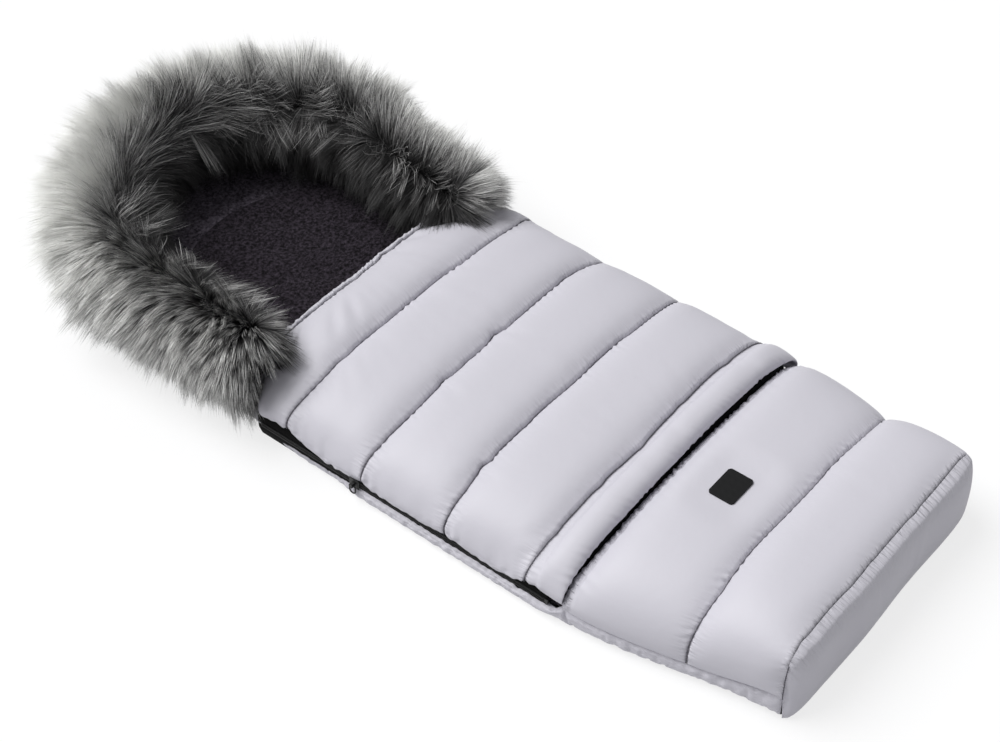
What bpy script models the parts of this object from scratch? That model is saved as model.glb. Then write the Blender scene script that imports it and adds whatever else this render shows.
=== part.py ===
"""Winter footmuff for a pushchair, lying flat with its cover zipped down.

A quilted back shell carries everything. A foot box is sewn on its lower end. A padded cover hangs
on the foot box by a cross zip, and two long zips close it along both sides. Round the head end
stands a low padded hood wall, with a thick fur collar on it that can be tilted up. Inside lie a
fleece lining and a seat pad, cut through for the harness.

Metres, +Z up. +Y points to the head end, and X runs across. Heights count from the surface that
the footmuff lies on. Along its length the design counts from the seam at the toes, and origin_y()
then puts the middle of the whole length at Y = 0.
"""
import math

import bmesh
import bpy
from mathutils import Matrix, Vector

# Lengths along the footmuff, from the seam at the toes
FOOT_SEAM_Y = 0.100
ZIP_Y = 0.243
ROLL_LENGTH = 0.028
CHANNEL_PITCH = 0.110
WIDE_CHANNELS = 3
MOUTH_CHANNEL = 0.084
PAD_START_Y = 0.004
PAD_TOP_Y = 0.925
HOOD_ARC_Y = 0.850

# Half widths
HALF_WIDTH = 0.212
FOOT_HALF_WIDTH = 0.172
HOOD_HALF_WIDTH = 0.200
PAD_HALF_WIDTH = 0.160
TOE_TAPER = 0.020

# Back shell and what lies on it
SHELL_RIM = 0.022
SHELL_FLOOR = 0.018
RIM_WIDTH = 0.022
SHELL_CORNER = 0.005
RIM_SLOPE = 0.004
LINING_SHEET = 0.003
LINING_CLEARANCE = 0.0045
PAD_THICKNESS = 0.012
PAD_EDGE = 0.008

# Cover
COVER_BASE = 0.025
COVER_UNDERSIDE = 0.061
COVER_SEAM = 0.073
COVER_CROWN = 0.084
COVER_EDGE = 0.016
COVER_LINING = 0.005
ROLL_CROWN = 0.087
MOUTH_CROWN = 0.082
MOUTH_EDGE = 0.075
MOUTH_REST = 0.0034
LINING_TURN = 0.030
LINING_DRAW = 0.014

# Foot box
FOOT_UNDERSIDE = 0.062
FOOT_END_EDGE = 0.096
FOOT_SEAM = 0.088
FOOT_GAP_EDGE = 0.073
FOOT_CROWNS = (0.102, 0.096)
FOOT_EDGE = 0.018
FOOT_LINING = 0.005
GUSSET_THICKNESS = 0.006
GUSSET_BULGE = 0.012

# Hood wall, hem and fur collar
COLLAR_RADIUS = 0.188
FUR_END_Y = 0.695
FUR_NOSE = 0.045
FUR_RADIUS_END = 0.064
FUR_RADIUS = 0.072
FUR_HEIGHT_END = 0.080
FUR_HEIGHT_TOP = 0.110
FUR_INNER_FLOOR = 0.0355
FUR_OUTER_FLOOR = 0.008
FUR_BACK_ANGLE = 44.0
WALL_THICKNESS = 0.014
WALL_INSET = 0.004
WALL_DROP = 0.030
HOOD_LINING = 0.006
HEM_RADIUS = 0.009
HEM_CLEARANCE = 0.0045
HEM_INSET = 0.008
NOTCH_FOOT = 0.020

# Zips
CHAIN_HEIGHT = 0.0235
ROW_GAP = 0.0016
BEAD_WIDTH = 0.0022
BEAD_THICKNESS = 0.0024
TAPE_THICKNESS = 0.0012
CHAIN_STANDOFF = 0.0034
TAPE_REACH = 0.0145
TAPE_HEM = 0.0035
TAPE_END = 0.004
STOP_LENGTH = 0.004
ZIP_TOP_INSET = 0.012
CROSS_GAP = 0.007
CROSS_CHAIN_HEIGHT = 0.066
CROSS_FLAT_HALF = 0.140
CROSS_INSET = 0.009
CROSS_FOOT_Z = 0.028

# Sliders and pulls
SLIDER_LENGTH = 0.014
SLIDER_WIDTH = 0.0132
SLIDER_PLATE = 0.0012
SLIDER_PLAY = 0.0006
SLIDER_EDGE = 0.0005
POST_THICKNESS = 0.0008
POST_LENGTH = 0.003
LUG_HOLE = 0.0014
LUG_WALL = 0.0012
LUG_LENGTH = 0.003
PULL_WIRE = 0.0009
PULL_WIDTH = 0.008
PULL_LENGTH = 0.012
SIDE_SLIDER_Y = 0.508
CROSS_SLIDER_X = 0.125

# Joint axes: the cover folds on a line above its cross zip, the collar tilts at its lobes' tips
HINGE_HEIGHT = 0.090
COLLAR_AXIS_HEIGHT = 0.070

# Label and harness slits
LABEL_SIZE = (0.041, 0.030, 0.0012)
LABEL_CENTRE = (-0.030, 0.1617)
LABEL_CORNER = 0.003
SLIT_WIDTH = 0.012
SHOULDER_SLIT = (0.070, 0.500, 0.610)
CROTCH_SLIT = (0.350, 0.410)
BINDING = 0.0018
BINDING_RAISE = 0.001

# Fit
GAP = 0.0003
LINING_GAP = 0.002
LOBE_CLEARANCE = 0.0065
BITE = 0.0002

# Shape of the padding, and how finely it is drawn
ARCH_POWER = 3.0
CHANNEL_POWER = 2.8
GUSSET_POWER = 2.5
ACROSS = 18
LINING_ACROSS = 12
CHANNEL_STATIONS = (0.0, 0.05, 0.2, 0.5, 0.8, 0.95, 1.0)
GUSSET_STATIONS = (1.0, 0.93, 0.78, 0.5, 0.22, 0.07, 0.0)
ARC_STEPS = 16
NOSE_STEPS = 5

SEAM_4 = ZIP_Y + CROSS_GAP + ROLL_LENGTH
SEAM_1 = SEAM_4 + WIDE_CHANNELS * CHANNEL_PITCH
MOUTH_Y = SEAM_1 + MOUTH_CHANNEL
ZIP_TOP_Y = SEAM_1 - ZIP_TOP_INSET
PAD_BASE = SHELL_FLOOR + GAP + LINING_SHEET + GAP
PAD_TOP = PAD_BASE + PAD_THICKNESS
MOUTH_BASE = PAD_TOP + MOUTH_REST
FABRIC_BASE = SHELL_RIM + GAP
CHAIN_FRONT = CHAIN_STANDOFF + BEAD_THICKNESS / 2
CHAIN_BACK = CHAIN_STANDOFF - BEAD_THICKNESS / 2
LUG_HALF = LUG_HOLE + LUG_WALL
LUG_OUT = CHAIN_FRONT + SLIDER_PLAY + SLIDER_PLATE + LUG_HALF


def clear_scene():
    for item in list(bpy.data.objects):
        bpy.data.objects.remove(item, do_unlink=True)


def origin_y():
    """Middle of the whole length, from the bulge at the toes to the back of the fur."""
    front = -(GAP + GUSSET_THICKNESS + GUSSET_BULGE)
    back = HOOD_ARC_Y + COLLAR_RADIUS + FUR_RADIUS
    return (front + back) / 2


def make_material(name, colour, roughness, metallic=0.0):
    material = bpy.data.materials.new(name)
    material.use_nodes = True
    shader = material.node_tree.nodes["Principled BSDF"]
    shader.inputs["Base Color"].default_value = (*colour, 1.0)
    shader.inputs["Roughness"].default_value = roughness
    shader.inputs["Metallic"].default_value = metallic
    return material


def smooth_step(value):
    """0 below 0, 1 above 1, and a soft S between."""
    value = min(1.0, max(0.0, value))
    return value * value * (3 - 2 * value)


def signed_power(value, power):
    return math.copysign(abs(value) ** power, value)


def spread(start, end, count):
    """So many stations from start to end, evenly spaced."""
    return [start + (end - start) * i / (count - 1) for i in range(count)]


def link(obj, material, parent=None):
    """Put a finished piece in the footmuff's collection, with its material, in the shared frame."""
    parts.objects.link(obj)
    obj.data.materials.clear()
    obj.data.materials.append(material)
    obj.parent = parent or frame
    if parent:
        obj.matrix_parent_inverse = Matrix.Translation(-Vector(parent["place"]))
    return obj


def link_helper(obj):
    """Put a cutter, or a box that a Boolean joins on, where it stays out of the render."""
    helpers.objects.link(obj)
    obj.parent = frame
    obj.hide_render = True
    obj.display_type = "WIRE"
    return obj


def mesh_from(name, builder):
    mesh = bpy.data.meshes.new(name)
    bmesh.ops.recalc_face_normals(builder, faces=builder.faces)
    builder.to_mesh(mesh)
    builder.free()
    return bpy.data.objects.new(name, mesh)


def shade(obj, angle):
    """Smooth shading, with sharp edges where faces meet at more than an angle in degrees."""
    obj.data.shade_smooth()
    obj.data.set_sharp_from_angle(angle=math.radians(angle))
    return obj


def loft(name, rings, material, parent=None):
    """Skin closed rings of equally many points, with the first and the last of them closed."""
    builder = bmesh.new()
    rows = [[builder.verts.new(point) for point in ring] for ring in rings]
    count = len(rows[0])
    for near, far in zip(rows, rows[1:]):
        for i in range(count):
            j = (i + 1) % count
            builder.faces.new((near[i], near[j], far[j], far[i]))
    builder.faces.new(rows[0])
    builder.faces.new(reversed(rows[-1]))
    return link(shade(mesh_from(name, builder), 40), material, parent)


def half_width(y):
    """Half width of the back shell: narrower at the toes, a little at the hood, round at the head."""
    if y > HOOD_ARC_Y:
        return math.sqrt(max(0.0, HOOD_HALF_WIDTH**2 - (y - HOOD_ARC_Y) ** 2))
    foot = smooth_step((y + TOE_TAPER) / (ZIP_Y + TOE_TAPER))
    hood = smooth_step((y - ZIP_TOP_Y) / (FUR_END_Y - ZIP_TOP_Y))
    width = FOOT_HALF_WIDTH + (HALF_WIDTH - FOOT_HALF_WIDTH) * foot
    return width + (HOOD_HALF_WIDTH - HALF_WIDTH) * hood


def head_stations(radius, centre, steps, least=0.2):
    """Stations round a head end, down to a last half width that is a share of the radius."""
    last = math.acos(least)
    return [centre + radius * math.sin(last * (i + 1) / steps) for i in range(steps)]


def arch(half, base, top, count=ACROSS):
    """Points (x, z) of a flat-topped arch, from its left foot to its right foot."""
    row = []
    for step in range(count + 1):
        angle = math.pi * (1 - step / count)
        x = half * signed_power(math.cos(angle), 2 / ARCH_POWER)
        z = base + (top - base) * abs(math.sin(angle)) ** (2 / ARCH_POWER)
        row.append((x, z))
    return row


def arch_height(x, half, base, top):
    share = 1 - min(1.0, abs(x) / half) ** ARCH_POWER
    return base + (top - base) * share ** (1 / ARCH_POWER)


def arched_ring(y, outer, inner):
    return [(x, y, z) for x, z in outer] + [(x, y, z) for x, z in reversed(inner)]


def puff(share, low_start, low_end, crown):
    """Height of a stuffed channel at a share of its length, between its two seams."""
    swell = (1 - abs(2 * share - 1) ** CHANNEL_POWER) ** (1 / CHANNEL_POWER)
    low = low_start + (low_end - low_start) * share
    return low + (crown - low) * swell


def channel_heights(seams, lows, crowns):
    """(y, height) of every ring along a row of stuffed channels."""
    rings = []
    for i, crown in enumerate(crowns):
        start, end = seams[i], seams[i + 1]
        for share in CHANNEL_STATIONS[(i > 0):]:
            y = start + (end - start) * share
            rings.append((y, puff(share, lows[i], lows[i + 1], crown)))
    return rings


def quilted_arch(name, heights, width, base, edge, underside, material, parent=None):
    """An arched, quilted panel, open below: its outer side follows the heights, its inner is flat."""
    rings = []
    for y, height in heights:
        w = width(y)
        rings.append(arched_ring(y, arch(w, base, height), arch(w - edge, base, underside)))
    return loft(name, rings, material, parent)


def build_back_shell():
    """Quilted tray: a flat floor, and a stuffed rim all round that the zips are sewn to."""
    stations = spread(0.0, ZIP_Y, 6) + spread(ZIP_Y, ZIP_TOP_Y, 4)[1:]
    stations += spread(ZIP_TOP_Y, FUR_END_Y, 3)[1:] + spread(FUR_END_Y, HOOD_ARC_Y, 3)[1:]
    stations += head_stations(HOOD_HALF_WIDTH, HOOD_ARC_Y, 9)
    ease = SHELL_CORNER / 2
    rings = []
    for y in stations:
        w = half_width(y)
        inner = max(w - RIM_WIDTH, RIM_SLOPE)
        floor = max(inner - RIM_SLOPE, RIM_SLOPE / 2)
        right = [(w / 2, 0.0), (w - SHELL_CORNER, 0.0), (w, SHELL_CORNER), (w, SHELL_RIM - ease)]
        right += [(w - ease, SHELL_RIM), (inner, SHELL_RIM), (floor, SHELL_FLOOR)]
        right += [(floor / 2, SHELL_FLOOR)]
        ring = right + [(-x, z) for x, z in reversed(right)]
        rings.append([(x, y, z) for x, z in ring])
    return loft("back_shell", rings, satin)


def flat_sheet(name, stations, width, low, high, edge, material):
    """A flat stuffed sheet with rounded long edges, as wide at each station as width(y) says."""
    middle = (low + high) / 2
    rise_part = (high - middle) * 0.6
    rings = []
    for y in stations:
        w = width(y)
        soft = min(edge, w / 2)
        right = [(w - soft, low), (w - soft / 5, middle - rise_part), (w, middle)]
        right += [(w - soft / 5, middle + rise_part), (w - soft, high)]
        ring = right + [(-x, z) for x, z in reversed(right)]
        rings.append([(x, y, z) for x, z in ring])
    return loft(name, rings, material)


def lining_width(y):
    """The lining sheet ends inside the rim all round, and follows the round head end."""
    inset = RIM_WIDTH + LINING_CLEARANCE
    if y > HOOD_ARC_Y:
        return math.sqrt(max(0.0, (HOOD_HALF_WIDTH - inset) ** 2 - (y - HOOD_ARC_Y) ** 2))
    return half_width(y) - inset


def pad_width(y):
    """The seat pad is straight, narrower inside the foot box, and ends in a half circle."""
    arc_y = PAD_TOP_Y - PAD_HALF_WIDTH
    if y > arc_y:
        return math.sqrt(max(0.0, PAD_HALF_WIDTH**2 - (y - arc_y) ** 2))
    narrow = FOOT_HALF_WIDTH - RIM_WIDTH - LINING_CLEARANCE - FOOT_LINING
    return narrow + (PAD_HALF_WIDTH - narrow) * smooth_step(y / ZIP_Y)


def build_inner_lining():
    stations = spread(GAP, ZIP_Y, 5) + [ZIP_TOP_Y, FUR_END_Y, HOOD_ARC_Y]
    stations += head_stations(lining_width(HOOD_ARC_Y), HOOD_ARC_Y, 7)
    low = SHELL_FLOOR + GAP
    high = low + LINING_SHEET
    return flat_sheet("inner_lining", stations, lining_width, low, high, LINING_SHEET, fleece)


def build_seat_pad():
    arc_y = PAD_TOP_Y - PAD_HALF_WIDTH
    stations = spread(PAD_START_Y, ZIP_Y, 4) + spread(ZIP_Y, arc_y, 4)[1:]
    stations += head_stations(PAD_HALF_WIDTH, arc_y, 8)
    return flat_sheet("seat_pad", stations, pad_width, PAD_BASE, PAD_TOP, PAD_EDGE, fleece)


def mouth_half_width(y):
    """The mouth channel is cut off straight in front of the fur lobes, so that it can lift."""
    across = FUR_RADIUS_END + LOBE_CLEARANCE
    along = FUR_NOSE + LOBE_CLEARANCE
    cut = math.sqrt(2) - (FUR_END_Y - y) / along
    return min(half_width(y), COLLAR_RADIUS - across * min(1.0, cut))


def build_cover():
    """Quilted cover: three wide channels, the shorter one at the mouth, and the roll at the foot."""
    seams = [SEAM_4 + CHANNEL_PITCH * i for i in range(WIDE_CHANNELS + 1)]
    heights = channel_heights(seams, [COVER_SEAM] * len(seams), [COVER_CROWN] * WIDE_CHANNELS)
    sizes = (COVER_BASE, COVER_EDGE, COVER_UNDERSIDE)
    quilted_arch("cover_panel", heights, half_width, *sizes, satin, cover_hinge)

    seams = [SEAM_1 + GAP, MOUTH_Y]
    heights = channel_heights(seams, [COVER_SEAM, MOUTH_EDGE], [MOUTH_CROWN])
    sizes = (MOUTH_BASE, COVER_EDGE, COVER_UNDERSIDE)
    quilted_arch("mouth_panel", heights, mouth_half_width, *sizes, satin, cover_hinge)

    seams = [ZIP_Y + CROSS_GAP, SEAM_4 - GAP]
    heights = channel_heights(seams, [FOOT_GAP_EDGE, COVER_SEAM], [ROLL_CROWN])
    sizes = (COVER_BASE, COVER_EDGE, COVER_UNDERSIDE)
    quilted_arch("cover_roll", heights, half_width, *sizes, satin, cover_hinge)


def build_cover_lining():
    """Fleece under the whole cover, which draws in and lifts before it goes under the mouth."""
    cut_end = FUR_END_Y - (math.sqrt(2) - 1) * (FUR_NOSE + LOBE_CLEARANCE)
    turn_start = SEAM_1 - LINING_TURN
    stations = spread(ZIP_Y + CROSS_GAP + LINING_GAP, turn_start, 4)
    stations += spread(turn_start, SEAM_1, 6)[1:] + [cut_end, MOUTH_Y - LINING_GAP]
    top = COVER_UNDERSIDE - LINING_GAP
    rings = []
    for y in stations:
        turn = smooth_step((y - turn_start) / (LINING_TURN - LINING_GAP))
        narrow = mouth_half_width(max(y, SEAM_1)) - LINING_DRAW
        edge = half_width(y) + (narrow - half_width(y)) * turn - COVER_EDGE - LINING_GAP
        base = COVER_BASE + (MOUTH_BASE - COVER_BASE) * turn
        outer = arch(edge, base, top, LINING_ACROSS)
        inner = arch(edge - COVER_LINING, base, top - COVER_LINING, LINING_ACROSS)
        rings.append(arched_ring(y, outer, inner))
    return loft("cover_lining", rings, fleece, cover_hinge)


def foot_height(y):
    """Height of the foot panel's outer face along its middle."""
    if y <= FOOT_SEAM_Y:
        return puff(y / FOOT_SEAM_Y, FOOT_END_EDGE, FOOT_SEAM, FOOT_CROWNS[0])
    share = (y - FOOT_SEAM_Y) / (ZIP_Y - CROSS_GAP - FOOT_SEAM_Y)
    return puff(share, FOOT_SEAM, FOOT_GAP_EDGE, FOOT_CROWNS[1])


def build_foot_box():
    """Top of the foot box in two channels, with its fleece."""
    end = ZIP_Y - CROSS_GAP
    heights = channel_heights(
        [0.0, FOOT_SEAM_Y, end], [FOOT_END_EDGE, FOOT_SEAM, FOOT_GAP_EDGE], FOOT_CROWNS
    )
    quilted_arch("foot_panel", heights, half_width, FABRIC_BASE, FOOT_EDGE, FOOT_UNDERSIDE, satin)

    top = FOOT_UNDERSIDE - LINING_GAP
    rings = []
    for y in spread(GAP, end - LINING_GAP, 5):
        edge = half_width(y) - FOOT_EDGE - LINING_GAP
        outer = arch(edge, FABRIC_BASE, top, LINING_ACROSS)
        inner = arch(edge - FOOT_LINING, FABRIC_BASE, top - FOOT_LINING, LINING_ACROSS)
        rings.append(arched_ring(y, outer, inner))
    loft("foot_lining", rings, fleece)


def build_gusset():
    """Upright padded panel at the toes, which bulges out between its seams."""
    half = half_width(0.0)
    columns = 14
    rings = []
    for i in range(columns + 1):
        angle = math.pi * (1 - i / columns)
        x = half * signed_power(math.cos(angle), 0.7)
        across = abs(math.sin(angle)) ** 0.8
        top = arch_height(x, half + GAP * 10, FABRIC_BASE, FOOT_END_EDGE)
        ring = [(x, -GAP, 0.0), (x, -GAP, top)]
        for share in GUSSET_STATIONS:
            swell = math.sqrt(1 - abs(2 * share - 1) ** GUSSET_POWER)
            out = GUSSET_THICKNESS * (1 + 3 * across) / 4 + GUSSET_BULGE * across * swell
            ring.append((x, -GAP - out, top * share))
        rings.append(ring)
    loft("foot_end_gusset", rings, satin)


def collar_path(start_y):
    """(point, outward normal, share) along the horseshoe, from its left end to its right end."""
    straight = HOOD_ARC_Y - start_y
    arc = math.pi * COLLAR_RADIUS
    whole = 2 * straight + arc
    stops = []
    for y in spread(start_y, HOOD_ARC_Y, 4)[:-1]:
        stops.append((Vector((-COLLAR_RADIUS, y, 0)), Vector((-1, 0, 0)), (y - start_y) / whole))
    for i in range(ARC_STEPS + 1):
        angle = math.pi * (1 - i / ARC_STEPS)
        normal = Vector((math.cos(angle), math.sin(angle), 0))
        point = Vector((0, HOOD_ARC_Y, 0)) + normal * COLLAR_RADIUS
        stops.append((point, normal, (straight + arc * i / ARC_STEPS) / whole))
    for point, _, share in stops[2::-1]:
        stops.append((Vector((COLLAR_RADIUS, point.y, 0)), Vector((1, 0, 0)), 1 - share))
    return stops


def fur_height(share):
    """Height of the fur's middle, from its two ends up to the head end."""
    rise = smooth_step(1 - abs(2 * share - 1))
    return FUR_HEIGHT_END + (FUR_HEIGHT_TOP - FUR_HEIGHT_END) * rise


def fur_radius(share):
    thick = smooth_step(4 * min(share, 1 - share))
    return FUR_RADIUS_END + (FUR_RADIUS - FUR_RADIUS_END) * thick


def build_hood():
    """Padded wall round the head end, with the fleece that faces its inner side."""
    lining_u = -WALL_INSET - GAP
    walls = (
        ("hood_wall", -WALL_INSET, WALL_THICKNESS - WALL_INSET, satin),
        ("hood_lining", lining_u - HOOD_LINING, lining_u, fleece),
    )
    for name, low_u, high_u, material in walls:
        ease = (high_u - low_u) / 3
        rings = []
        for point, normal, share in collar_path(FUR_END_Y + HEM_INSET):
            top = fur_height(share) - WALL_DROP
            section = [(low_u, FABRIC_BASE), (high_u, FABRIC_BASE), (high_u, top - ease)]
            section += [(high_u - ease, top), (low_u + ease, top), (low_u, top - ease)]
            rings.append([point + normal * u + Vector((0, 0, z)) for u, z in section])
        loft(name, rings, material)


def fur_section(radius, height):
    """(u, z) round the fur, with the slot below that takes the hem and the hood wall."""
    sides = 18
    first = math.radians(-90 + FUR_BACK_ANGLE / 2)
    sweep = math.radians(360 - FUR_BACK_ANGLE)
    section = []
    for i in range(sides + 1):
        angle = first + sweep * i / sides
        u = radius * math.cos(angle)
        floor = FUR_OUTER_FLOOR if u > 0 else FUR_INNER_FLOOR
        section.append((u, max(height + radius * math.sin(angle), floor)))
    slot = HEM_RADIUS + HEM_CLEARANCE
    slot_z = height - WALL_DROP + GAP + HEM_RADIUS
    foot = height - radius * math.cos(math.asin(NOTCH_FOOT / radius))
    section.append((-NOTCH_FOOT, max(foot, FUR_INNER_FLOOR)))
    for angle in spread(math.pi, 0.0, 5):
        section.append((slot * math.cos(angle), slot_z + slot * math.sin(angle)))
    section.append((NOTCH_FOOT, max(foot, FUR_OUTER_FLOOR)))
    return section


def nose_ring(side, step):
    """One ring of the rounded nose in front of a fur lobe."""
    angle = math.pi / 2 * step / (NOSE_STEPS + 0.4)
    shrink = math.cos(angle)
    y = FUR_END_Y - FUR_NOSE * math.sin(angle)
    ring = []
    for u, z in fur_section(FUR_RADIUS_END, FUR_HEIGHT_END):
        x = side * (COLLAR_RADIUS + u * shrink)
        ring.append((x, y, FUR_HEIGHT_END + (z - FUR_HEIGHT_END) * shrink))
    return ring


def build_collar():
    """Fur collar with two rounded lobes, and the piped hem in its slot that the fur is sewn to."""
    rings = [nose_ring(-1, step) for step in range(NOSE_STEPS, 0, -1)]
    for point, normal, share in collar_path(FUR_END_Y):
        section = fur_section(fur_radius(share), fur_height(share))
        rings.append([point + normal * u + Vector((0, 0, z)) for u, z in section])
    rings += [nose_ring(1, step) for step in range(1, NOSE_STEPS + 1)]
    loft("fur_collar", rings, fur, collar_hinge)

    sides = 10
    rings = []
    for point, normal, share in collar_path(FUR_END_Y + HEM_INSET):
        centre = point + Vector((0, 0, fur_height(share) - WALL_DROP + GAP + HEM_RADIUS))
        ring = []
        for i in range(sides):
            angle = 2 * math.pi * i / sides
            offset = normal * math.cos(angle) + Vector((0, 0, math.sin(angle)))
            ring.append(centre + offset * HEM_RADIUS)
        rings.append(ring)
    loft("collar_hem", rings, satin, collar_hinge)


def tape_section(hem):
    """(out, reach) round one tape with its coil. Reach counts from the middle between the rows."""
    low = CHAIN_STANDOFF - TAPE_THICKNESS / 2
    high = CHAIN_STANDOFF + TAPE_THICKNESS / 2
    near = ROW_GAP / 2
    back = near + BEAD_WIDTH
    section = [(CHAIN_BACK, near), (CHAIN_FRONT, near), (CHAIN_FRONT, back), (high, back)]
    if hem:
        section += [(high, TAPE_REACH), (GAP, TAPE_REACH), (GAP, TAPE_REACH - TAPE_HEM)]
        section += [(low, TAPE_REACH - TAPE_HEM)]
    else:
        section += [(high, CROSS_GAP - GAP), (low, CROSS_GAP - GAP)]
    return section + [(low, back), (CHAIN_BACK, back)]


def build_side_zips():
    ends = (ZIP_Y + CROSS_GAP + TAPE_END, ZIP_TOP_Y - TAPE_END)
    for name, side in SIDES:
        for owner, up, parent in (("shell", -1, None), ("cover", 1, cover_hinge)):
            rings = []
            for y in ends:
                ring = [
                    (side * (HALF_WIDTH + out), y, CHAIN_HEIGHT + up * reach)
                    for out, reach in tape_section(True)
                ]
                rings.append(ring)
            loft(f"{name}_zip_{owner}_tape", rings, zip_black, parent)


def cross_path():
    """(point, normal) across the footmuff in (x, z): flat in the middle, down at both sides."""
    drop = CROSS_CHAIN_HEIGHT - CROSS_FOOT_Z
    run = HALF_WIDTH - CROSS_INSET - CROSS_FLAT_HALF
    side = []
    for angle in spread(0.0, math.pi / 2, 6):
        x = CROSS_FLAT_HALF + run * math.cos(angle)
        z = CROSS_FOOT_Z + drop * math.sin(angle)
        normal = Vector((math.cos(angle) / run, math.sin(angle) / drop)).normalized()
        side.append((Vector((x, z)), normal))
    mirror = Vector((-1, 1))
    return [(point * mirror, normal * mirror) for point, normal in side] + side[::-1]


def build_cross_zip():
    rows = (("cross_zip_foot_tape", -1, None), ("cross_zip_cover_tape", 1, cover_hinge))
    for name, way, parent in rows:
        rings = []
        for point, normal in cross_path():
            ring = []
            for out, reach in tape_section(False):
                x, z = point + normal * (out - CHAIN_STANDOFF)
                ring.append((x, ZIP_Y + way * reach, z))
            rings.append(ring)
        loft(name, rings, zip_black, parent)


def box_object(name, corner, opposite):
    """A box between two opposite corners, made from a primitive cube."""
    builder = bmesh.new()
    made = bmesh.ops.create_cube(builder, size=1.0)
    centre = (Vector(corner) + Vector(opposite)) / 2
    size = Vector(opposite) - Vector(corner)
    for vert in made["verts"]:
        vert.co = centre + vert.co * Vector(abs(side) for side in size)
    return mesh_from(name, builder)


def cylinder_object(name, centre, axis, radius, length):
    builder = bmesh.new()
    made = bmesh.ops.create_cone(
        builder, cap_ends=True, segments=12, radius1=radius, radius2=radius, depth=length
    )
    turn = Vector((0, 0, 1)).rotation_difference(Vector(axis)).to_matrix()
    for vert in made["verts"]:
        vert.co = turn @ vert.co + Vector(centre)
    return mesh_from(name, builder)


def boolean(obj, other, operation):
    modifier = obj.modifiers.new(other.name, "BOOLEAN")
    modifier.operation = operation
    modifier.object = other
    modifier.solver = "EXACT"


def slider_boxes(hole_along_travel):
    """Corners in (out, travel, up) of a slider's two plates, its post and its lug."""
    length, width = SLIDER_LENGTH / 2, SLIDER_WIDTH / 2
    inner = (CHAIN_BACK - SLIDER_PLAY - SLIDER_PLATE, CHAIN_BACK - SLIDER_PLAY)
    outer = (CHAIN_FRONT + SLIDER_PLAY, CHAIN_FRONT + SLIDER_PLAY + SLIDER_PLATE)
    post_end = length - SLIDER_EDGE
    lug_travel, lug_up = LUG_LENGTH / 2, LUG_HALF
    if not hole_along_travel:
        lug_travel, lug_up = lug_up, lug_travel
    post = (inner[1] - BITE, post_end - POST_LENGTH, -POST_THICKNESS / 2)
    return {
        "outer": ((outer[0], -length, -width), (outer[1], length, width)),
        "inner": ((inner[0], -length, -width), (inner[1], length, width)),
        "post": (post, (outer[0] + BITE, post_end, POST_THICKNESS / 2)),
        "lug": ((outer[1] - BITE, -lug_travel, -lug_up), (LUG_OUT + LUG_HALF, lug_travel, lug_up)),
    }


def build_slider(name, place, hole_along_travel, parent):
    """A slider: boxes joined by Boolean unions, with a round hole through its lug for the pull."""
    boxes = slider_boxes(hole_along_travel)
    plate = box_object(name, *(place(*corner) for corner in boxes["outer"]))
    slider = link(shade(plate, 30), zip_metal, parent)
    rounding = slider.modifiers.new("soft edges", "BEVEL")
    rounding.width = SLIDER_EDGE
    rounding.segments = 1
    for key in ("post", "inner", "lug"):
        corners = (place(*corner) for corner in boxes[key])
        boolean(slider, link_helper(box_object(f"{name}_{key}", *corners)), "UNION")
    hole = cylinder_object(f"{name}_hole", place(LUG_OUT, 0, 0), (0, 1, 0), LUG_HOLE, SLIDER_LENGTH)
    boolean(slider, link_helper(hole), "DIFFERENCE")


def build_pull(name, centre, hang, parent):
    """A loop of cord: its straight top runs along Y through the lug, and the rest hangs free."""
    half = PULL_WIDTH / 2
    top = half * 0.6
    outline = [(-top, 0.0), (top, 0.0), (half, half - top)]
    for angle in spread(0.0, math.pi, 7):
        outline.append((half * math.cos(angle), PULL_LENGTH - half + half * math.sin(angle)))
    outline.append((-half, half - top))
    curve = bpy.data.curves.new(name, "CURVE")
    curve.dimensions = "3D"
    curve.bevel_depth = PULL_WIRE
    curve.bevel_resolution = 1
    curve.use_fill_caps = True
    spline = curve.splines.new("POLY")
    spline.points.add(len(outline) - 1)
    for spot, (along, down) in zip(spline.points, outline):
        spot.co = (*(Vector(centre) + Vector((0, along, 0)) + Vector(hang) * down), 1.0)
    spline.use_cyclic_u = True
    link(bpy.data.objects.new(name, curve), zip_black, parent)


def side_place(side):
    """Where (out, travel, up) at a side slider lies in the footmuff."""
    return lambda out, travel, up: (
        side * (HALF_WIDTH + out), SIDE_SLIDER_Y + travel, CHAIN_HEIGHT + up
    )


def cross_place(out, travel, up):
    """Where (out, travel, up) at the cross slider lies in the footmuff."""
    return (CROSS_SLIDER_X + travel, ZIP_Y + up, CROSS_CHAIN_HEIGHT + out - CHAIN_STANDOFF)


def build_sliders():
    """Each slider has its own joint frame, and its pull's frame is on the slider's."""
    kinds = [(f"{name}_zip", side_place(side), True, (0, 0, -1)) for name, side in SIDES]
    kinds.append(("cross_zip", cross_place, False, (-1, 0, 0)))
    for name, place, hole_along_travel, hang in kinds:
        track = joint_empty(f"{name}_track", place(CHAIN_STANDOFF, 0, 0))
        pivot = joint_empty(f"{name}_pull_pivot", place(LUG_OUT, 0, 0), track)
        build_slider(f"{name}_slider", place, hole_along_travel, track)
        build_pull(f"{name}_pull", place(LUG_OUT, 0, 0), hang, pivot)


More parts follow.
